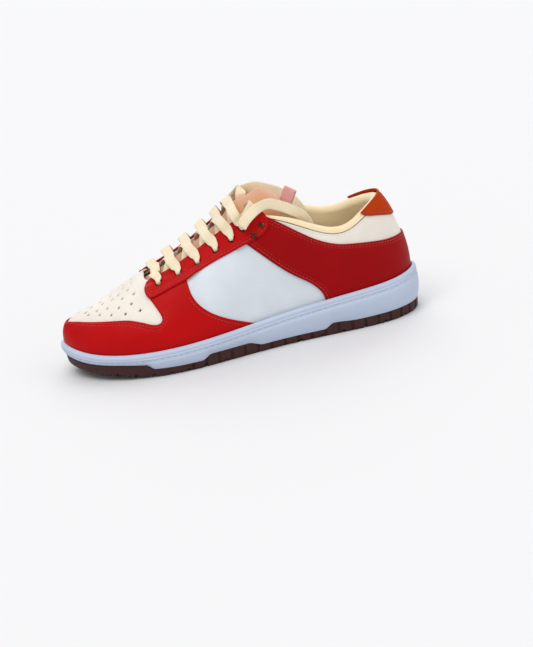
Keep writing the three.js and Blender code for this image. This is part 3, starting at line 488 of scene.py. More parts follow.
padding_foam = foam("padding foam", srgb(240, 234, 218), 1300.0)
pressed_board = foam("pressed board", srgb(206, 194, 170), 2600.0)
keep_node("midsole_wedge", padding_foam)
keep_node("insole_board", pressed_board)

# ---------------------------------------------------------------- sockliner
# The removable insole: moulded foam with a brushed cream knit on top, its rim standing up a little
# all round and its middle slightly dished, with a low arch on the inner side.
FEATHER_DROP = 7  # how far below the lip the upper is tucked under
UPPER_INSET = 8.4  # from the sole outline to the leather's inner face
BOARD_INSET = UPPER_INSET + 2.1 + 2.2
SOCKLINER_INSET = BOARD_INSET + 2.4
SOCKLINER_BASE = 2.0 + CLEARANCE


def knit(name, colour, thread_mm, on_uv=False):
    """Fine knitted or woven textile: crossing threads, fibre fuzz and faint clouding."""
    material, shader = new_material(name, 0.9, Sheen_Weight=0.5, Sheen_Roughness=0.5)
    place = add_node(material, "ShaderNodeTexCoord").outputs["UV" if on_uv else "Object"]
    size = 2 * math.pi / 20 / (thread_mm * MM)  # a wave texture at scale 1 repeats every 2 pi / 20
    warp = waves(material, place, size, 0.6, bands_direction="X")
    weft = waves(material, place, size, 0.6, bands_direction="Y" if on_uv else "DIAGONAL")
    weave = combined(material, "MAXIMUM", warp, weft)
    cloud = noise(material, object_space(material), 30.0, 5.0)
    mixed = combined(material, "MULTIPLY", weave, cloud)
    tinted(material, shader, mixed, shade(colour, 0.88), shade(colour, 1.1))
    bumped(material, shader, [(weave, 1.0), (noise(material, place, 2400.0, 2.0), 0.5)], 0.00022)
    return material


def sockliner_ring(inset, rise):
    return SOCKLINER_INSET + inset, lambda u, x: lip_height(u) - FEATHER_DROP + SOCKLINER_BASE + rise


def footbed(flat, s, t):
    across = np.sin(np.clip(t, 0, 1) * math.pi)
    arch = 1.6 * np.exp(-(((flat[:, 0] - 10) / 38) ** 2)) * ease(t, 0.55, 0.95) * (1 - ease(t, 0.95, 1))
    return -0.9 * across * ease(np.minimum(s, 1 - s), 0, 0.08) + arch


sockliner = ringed_body("sockliner_pad", [
    sockliner_ring(0.5, 0), sockliner_ring(0.1, 0.5), sockliner_ring(-0.3, 1.4), sockliner_ring(-0.4, 2.4),
    sockliner_ring(-0.3, 3.1), sockliner_ring(0, 3.7), sockliner_ring(0.6, 4.0), sockliner_ring(1.4, 4.0),
], 420, 40, top=footbed, crease=60)
lining_knit = knit("cream knit", srgb(255, 230, 186), 0.9)
finish_piece(sockliner, lining_knit, "sockliner", "lining_textile", "sockliner")

# ---------------------------------------------------------------- toe box
# The white leather over the toes, cut in one piece and punched with rows of small holes; its side edges
# lie under the toe overlay and the eyestays.
LEATHER = 1.4
top_x = round_the_shoe(both_sides([125, 107.5, 76, 24, -26, -72, -105, -134]))
top_middle = round_the_shoe(both_sides([1, 1, 0, 0, 2, 5, 8, 10]))
top_half_gap = round_the_shoe([0, -23, -31, -23, -12, 0, 0, 0, 0, 0, 12, 23, 31, 23])
top_z = round_the_shoe([103, 95, 89.5, 114, 95.5, 73, 57.5, 47.5, 57.5, 73, 95.5, 115, 94, 96])
low_out = round_the_shoe(both_sides([3, 2, 0, 1, 4, 5, 5, 5]))
low_up = round_the_shoe(both_sides([25, 24, 22, 32, 30, 26, 20, 14]))
high_out = round_the_shoe(both_sides([14, 9.5, 3, 8, 17, 30, 18, 8]))
high_down = round_the_shoe(both_sides([24, 22, 20, 28, 14, 3, 6, 3]))
wall_cubics = np.stack([curve.cubics for curve in (
    sole_x, sole_y, lip_height, top_x, top_middle, top_half_gap, top_z, low_out, low_up, high_out, high_down,
)], 1)
UP = np.array([0, 0, 1.0])


def wall_point(u, v):
    """The leather's inner face: u round the shoe, v from the tucked edge (0) to the top line (1)."""
    u, v = np.broadcast_arrays(np.asarray(u, float), np.asarray(v, float))
    gap = np.floor(u)
    x, y, lip, tx, middle, half, tz, lo, lu, ho, hd = np.moveaxis(
        on_cubic(wall_cubics[gap.astype(int) % STATIONS], (u - gap)[..., None]), -1, 0)
    held = np.where(np.mod(u, STATIONS) <= STATIONS / 2, np.minimum(half, 0), np.maximum(half, 0))
    out, v = outward(u), v[..., None]
    foot = np.stack([x, y, lip - FEATHER_DROP], -1) - out * UPPER_INSET
    top = np.stack([tx, middle + held, tz], -1)
    low = foot + out * lo[..., None] + UP * lu[..., None]
    high = top + out * ho[..., None] - UP * hd[..., None]
    return (1 - v) ** 3 * foot + 3 * (1 - v) ** 2 * v * low + 3 * (1 - v) * v**2 * high + v**3 * top


def wall_normal(u, v):
    step = 1e-3
    across = wall_point(u + step, v) - wall_point(u - step, v)
    up = wall_point(u, v + step) - wall_point(u, v - step)
    return unit(np.cross(up, across))


def laid(u, v, w):
    return wall_point(u, v) + wall_normal(u, v) * np.broadcast_to(w, np.shape(u))[..., None]


PLAN = np.array([46.0, 80.0])  # millimetres of leather to one unit of u and v


def rounded(outline, rounds=3):
    """A drawn outline with its corners cut into curves; a point given twice stays sharp."""
    points = np.array(outline, float)
    for _ in range(rounds):
        ahead = np.roll(points, -1, axis=0)
        points = np.stack([0.75 * points + 0.25 * ahead, 0.25 * points + 0.75 * ahead], 1).reshape(-1, 2)
    return points


def resampled(points, step):
    """The closed outline again, as points a near-even step apart."""
    loop = np.vstack([points, points[:1]])
    lengths = np.linalg.norm(np.diff(loop, axis=0), axis=1)
    loop = loop[np.concatenate([[True], lengths > 1e-9])]
    run = np.concatenate([[0], np.cumsum(np.linalg.norm(np.diff(loop, axis=0), axis=1))])
    count = max(3, int(round(run[-1] / step)))
    at = np.linspace(0, run[-1], count + 1)
    return np.stack([np.interp(at, run, loop[:, k]) for k in range(2)], -1)[:-1]


def inside(points, loop):
    x, y = points[:, 0:1], points[:, 1:2]
    a, b = loop, np.roll(loop, -1, axis=0)
    crosses = (a[:, 1] > y) != (b[:, 1] > y)
    slope = (b[:, 0] - a[:, 0]) / np.where(np.abs(b[:, 1] - a[:, 1]) < 1e-12, 1e-12, b[:, 1] - a[:, 1])
    return (crosses & (x < a[:, 0] + slope * (y - a[:, 1]))).sum(1) % 2 == 1


def inward(loop):
    """At each point of an outline, the direction square to it that leads inside."""
    tangent = unit(np.roll(loop, -1, axis=0) - np.roll(loop, 1, axis=0))
    side = np.stack([-tangent[:, 1], tangent[:, 0]], -1)
    return side if inside((loop + side * 1e-3)[:1], loop)[0] else -side


def edge_distance(points, starts, ends):
    """How far each point is from the nearest of many straight edges."""
    out = np.empty(len(points))
    along = ends - starts
    size = np.maximum((along**2).sum(1), 1e-12)
    for first in range(0, len(points), 2000):
        p = points[first:first + 2000, None]
        t = np.clip(((p - starts) * along).sum(-1) / size, 0, 1)
        out[first:first + 2000] = np.sqrt((((starts + t[..., None] * along) - p) ** 2).sum(-1)).min(1)
    return out


def cut_flat(outline, holes, spacing, ridge):
    """Cuts a panel flat: returns (u, v) points, triangles and distance from the cut edge."""
    loop = resampled(rounded(outline) * PLAN, 1.3)
    if ridge:
        loop[:, 1] = np.minimum(loop[:, 1], PLAN[1])
        middle = STATIONS / 2 * PLAN[0]
        left = loop[:, 0] < middle - 0.4
        first = np.flatnonzero(left & ~np.roll(left, 1))[0]
        half = np.roll(loop, -first, axis=0)[: left.sum()]
        mirrored = half[::-1] * [-1, 1] + [2 * middle, 0]
        ends = [(half[-1, 1] + mirrored[0, 1]) / 2, (half[0, 1] + mirrored[-1, 1]) / 2]
        loop = np.vstack([half, [[middle, ends[0]]], mirrored, [[middle, ends[1]]]])
        loop = loop[np.linalg.norm(loop - np.roll(loop, 1, axis=0), axis=1) > 1e-3]
    loops = [loop, *holes]
    fixed = np.vstack(loops)
    following = np.vstack([np.roll(one, -1, axis=0) for one in loops])
    starts, ends = fixed, following
    if ridge:
        cut = ~((starts[:, 1] > PLAN[1] - 1e-6) & (ends[:, 1] > PLAN[1] - 1e-6))
        starts, ends = starts[cut], ends[cut]
    edges = []
    for one in loops:
        edges += [(len(edges) + k, len(edges) + (k + 1) % len(one)) for k in range(len(one))]
    low, high = loop.min(0), loop.max(0)
    columns, rows = np.meshgrid(np.arange(low[0], high[0], spacing),
                                np.arange(low[1], high[1], spacing * 0.87))
    columns = columns + (np.arange(rows.shape[0]) % 2)[:, None] * spacing / 2
    grid = np.stack([columns.ravel(), rows.ravel()], -1)
    free = [grid[edge_distance(grid, fixed, following) > 2.9]]
    for one in loops:
        into_leather = inward(one) if one is loop else -inward(one)
        for far in (0.3, 0.75, 1.4, 2.2) if one is loop else (0.3, 0.75):
            ring = one + into_leather * far
            free.append(ring[edge_distance(ring, fixed, following) > far * 0.93])

    def in_leather(points):
        kept = inside(points, loop)
        for hole in holes:
            kept &= ~inside(points, hole)
        return kept

    free = np.vstack(free)
    every_point = np.vstack([fixed, free[in_leather(free)]])
    flat, _, faces, *_ = geometry.delaunay_2d_cdt([Vector(p) for p in every_point], edges, [], 0, 1e-5)
    flat, faces = np.array([tuple(p) for p in flat]), np.array([f for f in faces if len(f) == 3])
    return flat / PLAN, faces[in_leather(flat[faces].mean(1))], edge_distance(flat, starts, ends)


def hole_at(place, diameter, sides=18):
    """A round hole of a true diameter, as an outline in the flat."""
    u, v = place
    step = 1e-3
    along_u = np.linalg.norm(wall_point(u + step, v) - wall_point(u - step, v)) / (2 * step)
    along_v = np.linalg.norm(wall_point(u, v + step) - wall_point(u, v - step)) / (2 * step)
    angle = np.arange(sides) * 2 * math.pi / sides
    radius = diameter / 2
    return np.stack([u + np.cos(angle) * radius / along_u, v + np.sin(angle) * radius / along_v], -1) * PLAN


LEATHER_CREASE = 55


def lay_panel(name, outline, place, thickness, holes=(), spacing=2.4, ridge=False, seam_in=2.2, puff=0.25,
              edge_round=0.8):
    """A panel cut flat and laid on the shoe. place(u, v, height) is a point that far above its inner face.
    Its cut edge is rounded, a seam line sinks in, and the leather swells a little inside the seam."""
    flat, faces, distance = cut_flat(outline, holes, spacing, ridge)
    u, v = flat[:, 0], np.maximum(flat[:, 1], 0)
    radius = min(edge_round, thickness * 0.8)
    near = np.clip(distance, 0, radius)
    drop = radius - np.sqrt(np.maximum(radius**2 - (radius - near) ** 2, 0))
    channel = 0.3 * np.exp(-(((distance - seam_in) / 0.75) ** 2)) if seam_in else 0
    swell = puff * ease(distance, seam_in, seam_in + 6)
    slack = 0.1 * np.sin(u * 11 + v * 9) * np.sin(v * 21 - u * 7) * ease(distance, 2, 8)
    height = thickness - drop - channel + swell + slack
    outer, inner = place(u, v, height), place(u, v, np.zeros(len(u)))
    if ridge:
        on_ridge = v > 1 - 1e-6
        mirror = STATIONS - u[on_ridge]
        outer[on_ridge] = (outer[on_ridge] + place(mirror, v[on_ridge], height[on_ridge])) / 2
        inner[on_ridge] = (inner[on_ridge] + place(mirror, v[on_ridge], 0 * mirror)) / 2
    count = len(u)
    directed = np.vstack([faces[:, [0, 1]], faces[:, [1, 2]], faces[:, [2, 0]]])
    _, first, uses = np.unique(np.sort(directed, axis=1), axis=0, return_index=True, return_counts=True)
    rim = directed[first[uses == 1]]
    if ridge:
        rim = rim[~(on_ridge[rim[:, 0]] & on_ridge[rim[:, 1]])]
    walls = np.stack([rim[:, 1], rim[:, 0], rim[:, 0] + count, rim[:, 1] + count], -1)
    every_face = faces.tolist() + (faces[:, ::-1] + count).tolist() + walls.tolist()
    piece = drawn_piece(name, np.vstack([outer, inner]), every_face)
    fade = piece.data.attributes.new("edge_mm", "FLOAT", "POINT")
    fade.data.foreach_set("value", np.concatenate([distance, distance]).astype(np.float32))
    spread_uv(piece.data, np.vstack([flat, flat]) * PLAN * MM)
    return closed_piece(name, [piece], crease=LEATHER_CREASE)


def on_wall(inner):
    """Places a panel whose inner face is inner(u, v) millimetres outside the wall."""
    rise = inner if callable(inner) else (lambda u, v: inner)
    return lambda u, v, height: laid(u, v, rise(u, v) + height)


def other_side(outline):
    return [(STATIONS - u, v) for u, v in outline][::-1]


def leather(name, colour, roughness, gloss, grain=1.0):
    """Finished cowhide: pores and fine creases, cloudy dye, painted shade darkening the cut edge, and a faint
    coat.
    """
    material, shader = new_material(name, roughness, Specular_IOR_Level=gloss)
    place = object_space(material)
    pores = add_node(material, "ShaderNodeTexVoronoi", [("Vector", place)], Scale=1100.0,
                     feature="DISTANCE_TO_EDGE")
    cloud, wrinkle = noise(material, place, 24.0, 5.0), noise(material, place, 330.0, 4.0, Distortion=0.8)
    edge = add_node(material, "ShaderNodeAttribute", attribute_name="edge_mm")
    # Painted shade: the colour darkens within 1.3 mm of the cut edge, where the leather rounds over.
    edge_shade = add_node(material, "ShaderNodeMapRange", [("Value", edge.outputs["Fac"])],
                    interpolation_type="SMOOTHSTEP")
    edge_shade.inputs["From Max"].default_value, edge_shade.inputs["To Min"].default_value = 1.3, 0.25
    tone = combined(material, "MULTIPLY", cloud, edge_shade.outputs[0])
    tinted(material, shader, tone, shade(colour, 0.78), shade(colour, 1.1))
    uneven_gloss(material, shader, wrinkle, roughness - 0.08, roughness + 0.12)
    relief = [(pores.outputs[0], 0.5 * grain), (wrinkle, 0.8 * grain), (cloud, 2.0)]
    bumped(material, shader, relief, 0.00016)
    return material


STITCH_PITCH, STITCH_LENGTH = 2.9, 2.32


def seam_row(name, outline, first, last, setback, place, material, slot):
    """Stitches that follow an outline's edge between two of its drawn points, setback millimetres inside."""
    loop = resampled(rounded(outline) * PLAN, 0.6)
    offset = loop + inward(loop) * setback
    true_gap = edge_distance(offset, loop, np.roll(loop, -1, axis=0))
    ends = [np.argmin(((loop - np.array(outline[k]) * PLAN) ** 2).sum(1)) for k in (first, last)]
    order = np.arange(ends[0], ends[1] + (len(loop) if ends[1] <= ends[0] else 0)) % len(loop)
    order = order[true_gap[order] > setback * 0.9]
    path = offset[order] / PLAN
    kernel = np.ones(7) / 7
    u, v = (np.convolve(np.pad(path[:, k], 3, mode="edge"), kernel, "valid") for k in range(2))
    where, centres, along = spaced(place(u, v, np.full(len(u), LEATHER - 0.16)), STITCH_PITCH)
    normal = wall_normal(np.interp(where, np.arange(len(u)), u), np.interp(where, np.arange(len(v)), v))
    stitch_row(name, centres, along, normal, STITCH_LENGTH, 0.32, material, "root", slot)


EYELETS = [(4.68, 0.685), (4.37, 0.705), (4.06, 0.735), (3.75, 0.765), (3.48, 0.79), (3.28, 0.845)]
SPARE_HOLES = [(2.99, 0.85), (3.13, 0.765)]
EYELET, INNER_HOLE, PERFORATION = 5.0, 6.4, 1.9  # diameters
toe_box_side = [
    (5.03, 1.05), (5.0, 0.9), (4.94, 0.83), (4.84, 0.79), (4.79, 0.73), (4.68, 0.62), (4.57, 0.46),
    (4.51, 0.36), (4.52, 0.27), (4.8, 0.26), (5.2, 0.35), (5.5, 0.39), (5.86, 0.44), (6.2, 0.5), (6.6, 0.57),
]
perforation_rows = [(5.0, 5.3, 0.5, 0.93, 5), (5.28, 5.54, 0.52, 0.94, 5), (5.6, 5.78, 0.57, 0.94, 4),
                    (5.92, 6.03, 0.64, 0.94, 4), (6.26, 6.32, 0.73, 0.93, 3)]
perforations = [(mix(first, last, k / (count - 1)) + (0.1 if k % 2 else 0), mix(low, high, k / (count - 1)))
                for first, last, low, high, count in perforation_rows for k in range(count)]
toe_holes = [hole_at(p, PERFORATION, 14) for u, v in perforations for p in ((u, v), (STATIONS - u, v))]
first_eyelets = [hole_at(p, INNER_HOLE) for u, v in EYELETS[:2] for p in ((u, v), (STATIONS - u, v))]
white_leather = leather("white leather", srgb(236, 229, 217), 0.45, 0.2, 0.7)
toe_box_outline = toe_box_side + [(7, 0.61)] + other_side(toe_box_side)
toe_box = lay_panel("toe_box_leather", toe_box_outline, on_wall(0), LEATHER, toe_holes + first_eyelets,
                    ridge=True, seam_in=0, puff=0)
finish_piece(toe_box, white_leather, "root", "white_leather", "toe_box")

# ---------------------------------------------------------------- quarters and collar panels
# The side panels: white quarters lasted under the sole, coloured a cooler, darker blue-grey as painted shade,
# and warm white panels up to the collar.
# Their edges are hidden under the red overlays.
quarter_outline = [
    (3.04, 0.905), (3.3, 0.93), (3.55, 0.91), (3.88, 0.88), (4.18, 0.84), (4.46, 0.8), (4.65, 0.78),
    (4.62, 0.74), (4.52, 0.62), (4.4, 0.45), (4.3, 0.36), (4.15, 0.27), (3.95, 0.18), (3.75, 0.09),
    (3.6, 0), (2.0, 0), (2.0, 0.24), (2.2, 0.34), (2.5, 0.4), (2.75, 0.5), (2.92, 0.62), (3.05, 0.78),
]
COLLAR_EDGE = 11 / 12  # where the padded roll starts
collar_panel_outline = [
    (0.006, 0.38), (0.006, 0.38), (0.4, 0.38), (0.8, 0.4), (1.1, 0.44), (1.5, 0.5), (1.9, 0.54), (2.3, 0.57),
    (2.6, 0.62), (2.8, 0.71), (2.96, 0.84), (2.98, COLLAR_EDGE - 0.008), (2.98, COLLAR_EDGE - 0.008),
    (0.006, COLLAR_EDGE - 0.008), (0.006, COLLAR_EDGE - 0.008),
]
# The quarters' blue-grey is painted shade: a darker, cooler copy of the white leather.
shaded_quarter_leather = leather("white leather with painted shade", srgb(218, 225, 231), 0.45, 0.2, 0.7)
behind_holes = [hole_at(p, INNER_HOLE) for p in EYELETS + SPARE_HOLES]
SIDES = (("lateral", list, lambda hole: hole),
         ("medial", other_side, lambda hole: hole * [-1, 1] + [STATIONS * PLAN[0], 0]))
for side, turned, turned_hole in SIDES:
    behind = [turned_hole(h) for h in behind_holes]
    quarter = lay_panel("quarter_leather_" + side, turned(quarter_outline), on_wall(0), LEATHER, behind,
                        seam_in=0, puff=0)
    finish_piece(quarter, shaded_quarter_leather, "root", "pale_grey_leather", "quarter_" + side)
    near_holes = [h for h in behind if inside(h[:1], rounded(turned(collar_panel_outline)) * PLAN)[0]]
    panel = lay_panel("collar_leather_" + side, turned(collar_panel_outline), on_wall(0), LEATHER,
                      near_holes, seam_in=2.0)
    finish_piece(panel, white_leather, "root", "white_leather", "collar_panel_" + side)
    keep_node("eyelet_tape_" + side, pressed_board)
for node in ("heel_counter", "toe_puff"):
    keep_node(node, pressed_board)
keep_node("collar_foam", padding_foam)

# ---------------------------------------------------------------- toe overlay and heel bands
# Red leather overlays: the mudguard runs round the toe, the deeper red bands run from the heel to the
# eyestays. Each is sewn down along its edge with matching thread.
OVER = LEATHER + CLEARANCE
toe_overlay_side = [
    (3.05, 0), (3.05, 0), (3.42, 0.11), (3.7, 0.205), (3.9, 0.29), (4.06, 0.38), (4.18, 0.485), (4.24, 0.61),
    (4.28, 0.66), (4.5, 0.65), (4.72, 0.62), (4.86, 0.6), (4.8, 0.54), (4.66, 0.41), (4.62, 0.36),
    (4.63, 0.325), (4.7, 0.315), (4.8, 0.33), (4.92, 0.365), (5.06, 0.4), (5.2, 0.435), (5.5, 0.475),
    (5.86, 0.52), (6.2, 0.575), (6.52, 0.65), (6.8, 0.708),
]
toe_overlay_outline = toe_overlay_side + [(7, 0.724)] + other_side(toe_overlay_side)
band_outline = [
    (0.006, 0), (0.006, 0), (2.27, 0), (2.27, 0), (2.26, 0.1), (2.28, 0.165), (2.34, 0.235), (2.44, 0.31),
    (2.66, 0.395), (2.84, 0.48), (3.06, 0.595), (3.26, 0.705), (3.3, 0.73), (3.2, 0.8), (3.06, 0.9),
    (2.96, 0.945), (2.84, 0.92), (2.64, 0.878), (2.4, 0.835), (2.2, 0.805), (1.96, 0.785), (1.56, 0.735),
    (1.16, 0.635),
    (0.84, 0.555), (0.56, 0.515), (0.18, 0.482), (0.006, 0.478), (0.006, 0.478),
]
red_leather = leather("red leather", srgb(184, 6, 8), 0.45, 0.09)
deep_red_leather = leather("deep red leather", srgb(154, 5, 9), 0.47, 0.08)
red_thread = thread("red thread", srgb(178, 18, 22))
toe_overlay = lay_panel("toe_overlay_leather", toe_overlay_outline, on_wall(OVER), LEATHER)
finish_piece(toe_overlay, red_leather, "root", "red_leather", "toe_overlay")
last_point = len(toe_overlay_outline) - 1
for name, first, last, setback in (
    ("toe_overlay_seam", 13, last_point - 13, 2.1), ("toe_overlay_seam_inner", 13, last_point - 13, 4.2),
    ("waist_seam_lateral", 1, 6, 2.1), ("waist_seam_medial", last_point - 6, last_point - 1, 2.1),
):
    seam_row(name, toe_overlay_outline, first, last, setback, on_wall(OVER), red_thread, "red_leather")
for side, turned, turned_hole in SIDES:
    near_holes = [turned_hole(h) for h in behind_holes if inside(h[:1], rounded(band_outline) * PLAN)[0]]
    band = lay_panel("heel_band_leather_" + side, turned(band_outline), on_wall(OVER), LEATHER, near_holes)
    finish_piece(band, deep_red_leather, "root", "dark_red_leather", "heel_band_" + side)
    last_point = len(band_outline) - 1
    for edge, first, last in (("low", 3, 12), ("high", 15, 26)):
        pair = (first, last) if side == "lateral" else (last_point - last, last_point - first)
        for row, setback in (("", 2.1), ("_inner", 4.2)):
            seam_row(f"band_seam_{edge}{row}_{side}", turned(band_outline), *pair, setback, on_wall(OVER),
                     red_thread, "dark_red_leather")

# ---------------------------------------------------------------- eyestays
# Red leather facings with six lace holes a side, sewn over everything else along the throat, so they
# step up where they cross the toe overlay and the heel band.
throat_edge = [
    (2.98, 0.995), (3.1, 0.985), (3.3, 0.945), (3.55, 0.925), (3.88, 0.895), (4.18, 0.855), (4.46, 0.815),
    (4.66, 0.795), (4.84, 0.795), (4.94, 0.83), (5.0, 0.9), (5.03, 1.05),
]
eyestay_outline = throat_edge[:9] + [
    (4.92, 0.765), (4.925, 0.7), (4.9, 0.62), (4.82, 0.555), (4.62, 0.575), (4.42, 0.6), (4.24, 0.61),
    (4.06, 0.65), (3.82, 0.672), (3.52, 0.68), (3.26, 0.705), (3.08, 0.735), (2.93, 0.79), (2.86, 0.88),
    (2.9, 0.96),
]


def eyestay_rise(u, v):
    """Where it passes over another overlay, it rises by one layer."""
    side = np.where(np.asarray(u) > STATIONS / 2, STATIONS - u, u)
    over_toe = ease(side, 3.98, 4.14) * (1 - ease(v, 0.68, 0.74))
    band_end = 3.3 - 0.9 * np.maximum(0, np.asarray(v) - 0.72)
    over_band = 1 - ease(side - band_end, 0.05, 0.18)
    return OVER * np.maximum(over_toe, over_band)


on_eyestay = on_wall(lambda u, v: OVER + eyestay_rise(u, v))
for side, turned, turned_hole in SIDES:
    eyestay = lay_panel("eyestay_leather_" + side, turned(eyestay_outline), on_eyestay, LEATHER,
                        [turned_hole(hole_at(p, EYELET, 22)) for p in EYELETS + SPARE_HOLES],
                        spacing=1.7, puff=0.1)
    finish_piece(eyestay, red_leather, "root", "red_leather", "eyestay_" + side)
    last_point = len(eyestay_outline) - 1
    for edge, first, last in (("throat", 0, 9), ("outer", 10, 22)):
        pair = (first, last) if side == "lateral" else (last_point - last, last_point - first)
        for row, setback in (("", 1.9),) if edge == "throat" else (("", 2.0), ("_inner", 3.9)):
            seam_row(f"eyestay_seam_{edge}{row}_{side}", turned(eyestay_outline), *pair, setback, on_eyestay,
                     red_thread, "red_leather")

# ---------------------------------------------------------------- heel tab
# A small rust-orange leather tab over the back seam, sewn on last.
tab_side = [
    (1.08, 0.985), (1.08, 0.985), (1.02, 0.94), (0.9, 0.885), (0.73, 0.835), (0.48, 0.765), (0.25, 0.712),
]
tab_outline = tab_side + [(0, 0.695)] + [(-u, v) for u, v in tab_side][::-1]
heel_tab = lay_panel("heel_tab_leather", tab_outline, on_wall(OVER), LEATHER)
finish_piece(heel_tab, leather("rust leather", srgb(184, 58, 6), 0.47, 0.06),
             "root", "rust_leather", "heel_tab")
seam_row("heel_tab_seam", tab_outline, 2, len(tab_outline) - 3, 2.1, on_wall(OVER),
         thread("rust thread", srgb(150, 52, 20)), "rust_leather")

# ---------------------------------------------------------------- collar lining and vamp lining
# Brushed cream knit inside the shoe. At the collar it is padded out and rolls over the top edge to meet
# the leather; over the toes it is a single thin layer.
COLLAR_ROLL, COUNTER, TAPE, LINING = 4.9, 1.6, 0.6, 0.9
VAMP_DEPTH = 2 * CLEARANCE + TAPE + LINING


def roll_radius(u):
    return mix(COLLAR_ROLL, 2.2, ease(np.abs(u), 2.35, 2.95))


def lining_depth(u, v):
    side = np.abs(u)
    base = mix(2 * CLEARANCE + COUNTER + LINING + 0.4, VAMP_DEPTH, ease(side, 2.6, 3.0))
    full = mix(2 * roll_radius(u) - LEATHER, base, ease(side, 2.95, 3.12))
    return mix(base, full, ease(v, 0.42, 0.86))


def lining_at(u, v, height):
    """height runs from the visible face (LINING) back to the padding (0)."""
    behind = LINING - height
    low_v = np.minimum(v, COLLAR_EDGE)
    flat = laid(u, low_v, behind - lining_depth(u, low_v))
    radius = roll_radius(u)
    angle = math.pi * (1 - np.clip((v - COLLAR_EDGE) / (1.25 - COLLAR_EDGE), 0, 1))
    foot = laid(u, np.full(np.shape(u), COLLAR_EDGE), 0)
    out = wall_normal(u, COLLAR_EDGE)
    up = wall_point(u, 1.0) - foot
    up = unit(up - out * (up * out).sum(-1, keepdims=True))
    reach = radius - behind
    away, rise = LEATHER - radius + reach * np.cos(angle), reach * np.sin(angle)
    rolled = foot + out * away[..., None] + up * rise[..., None]
    return np.where((v > COLLAR_EDGE)[..., None], rolled, flat)


lining_side = [
    (4.43, 0), (4.43, 0), (4.43, 0.79), (4.43, 0.79), (4.18, 0.835), (3.88, 0.875), (3.6, 0.895), (3.06, 0.9),
    (2.97, COLLAR_EDGE), (2.97, COLLAR_EDGE), (2.97, 1.25), (2.97, 1.25),
]
lining_outline = lining_side + [(-u, v) for u, v in lining_side][::-1]
lining_holes = behind_holes + [h * [-1, 1] for h in behind_holes]
lining_holes = [h for h in lining_holes if inside(h, rounded(lining_outline) * PLAN).all()]
collar_lining = lay_panel("collar_lining_knit", lining_outline, lining_at, LINING, lining_holes,
                          seam_in=0, puff=0, edge_round=0.3, spacing=2.2)
finish_piece(collar_lining, lining_knit, "root", "lining_textile", "collar_lining")

vamp_side = [
    (5.1, 1.05), (5.06, 0.9), (5.0, 0.82), (4.88, 0.778), (4.66, 0.775), (4.5, 0.785), (4.5, 0), (4.5, 0),
]
vamp_lining = lay_panel("vamp_lining_mesh", vamp_side + other_side(vamp_side), on_wall(-VAMP_DEPTH), LINING,
                        first_eyelets, ridge=True, seam_in=0, puff=0, edge_round=0.3, spacing=3.0)
finish_piece(vamp_lining, knit("cream mesh lining", srgb(226, 198, 160), 0.6),
             "root", "lining_textile", "vamp_lining")

# ---------------------------------------------------------------- tongue
# A padded tongue: peach textile outside, foam inside, knit against the foot, sewn together along its
# edge so that the layers pinch there. It is stitched down under the toe box and free at the top.
TONGUE_DROP = 4.6
TONGUE_BASE_U, TONGUE_TOP_U = 5.3, 3.1
FREE_START = 0.8  # share of its length that lies under the lace
FREE_LENGTH, HALF_WIDTH, SEAM_MARGIN = 30, 30, 5.2
TONGUE_SHELL, TONGUE_FOAM = 1.2, 3.6


def tongue_section(u, across):
    reach = np.abs(across)
    side = np.where(across < 0, u, STATIONS - u)
    edge = mix(0.78, 0.9, ease(u, 4.8, 5.1))
    wing = laid(side, mix(edge, edge - 0.24, np.maximum(reach - 0.5, 0) / 0.5), -TONGUE_DROP)
    ends, handles = [], []
    for s in (u, STATIONS - u):
        here = laid(s, edge, -TONGUE_DROP)
        ends.append(here)
        handles.append(unit(here - laid(s, edge - 0.02, -TONGUE_DROP)))
    far = np.linalg.norm(ends[0] - ends[1], axis=-1, keepdims=True) * 0.42
    t = np.clip(across + 0.5, 0, 1)[..., None]
    arch = ((1 - t) ** 3 * ends[0] + 3 * (1 - t) ** 2 * t * (ends[0] + handles[0] * far)
            + 3 * (1 - t) * t**2 * (ends[1] + handles[1] * far) + t**3 * ends[1])
    return np.where((reach >= 0.5)[..., None], wing, arch)


def tongue_point(along, across):
    along, across = np.broadcast_arrays(np.asarray(along, float), np.asarray(across, float))
    u = mix(TONGUE_BASE_U, TONGUE_TOP_U, np.minimum(along / FREE_START, 1))
    point = tongue_section(u, across)
    beyond = np.maximum(along - FREE_START, 0) / (1 - FREE_START)
    middle = tongue_section(u, np.zeros(u.shape))
    corner = 1 - 0.35 * across**4
    run, rise = 27, 8
    crown = (2.5 * ease(along, 0.2, 0.5) * (1 - ease(along, 0.9, 1))
             + 9.5 * ease(along, 0.58, 0.74) * (1 - ease(along, 0.88, 1)))
    spread = mix(np.maximum(0, 1 - 4 * across**2) ** 2, 1 - across**2, ease(along, 0.7, 0.9))
    point[..., 2] += crown * spread
    point[..., 1] = middle[..., 1] + (point[..., 1] - middle[..., 1]) * (1 - 0.3 * beyond**2)
    point[..., 0] += run * beyond * corner
    point[..., 2] += (rise * (1.5 * beyond - 0.5 * beyond**2) + 6 * beyond * across**2) * corner
    return point


def tongue_normal(along, across):
    step = 1e-2
    onward, back = np.minimum(along + step, 1), np.maximum(along - step, 0)
    right, left = np.minimum(across + step, 1), np.maximum(across - step, -1)
    return unit(np.cross(tongue_point(onward, across) - tongue_point(back, across),
                         tongue_point(along, right) - tongue_point(along, left)))


def tongue_at(along, across, depth):
    inwards = tongue_normal(along, across) * np.broadcast_to(depth, np.shape(along))[..., None]
    return tongue_point(along, across) - inwards


def foam_depth(along):
    return TONGUE_FOAM * mix(0.5, 1, ease(along, 0.1, 0.8))


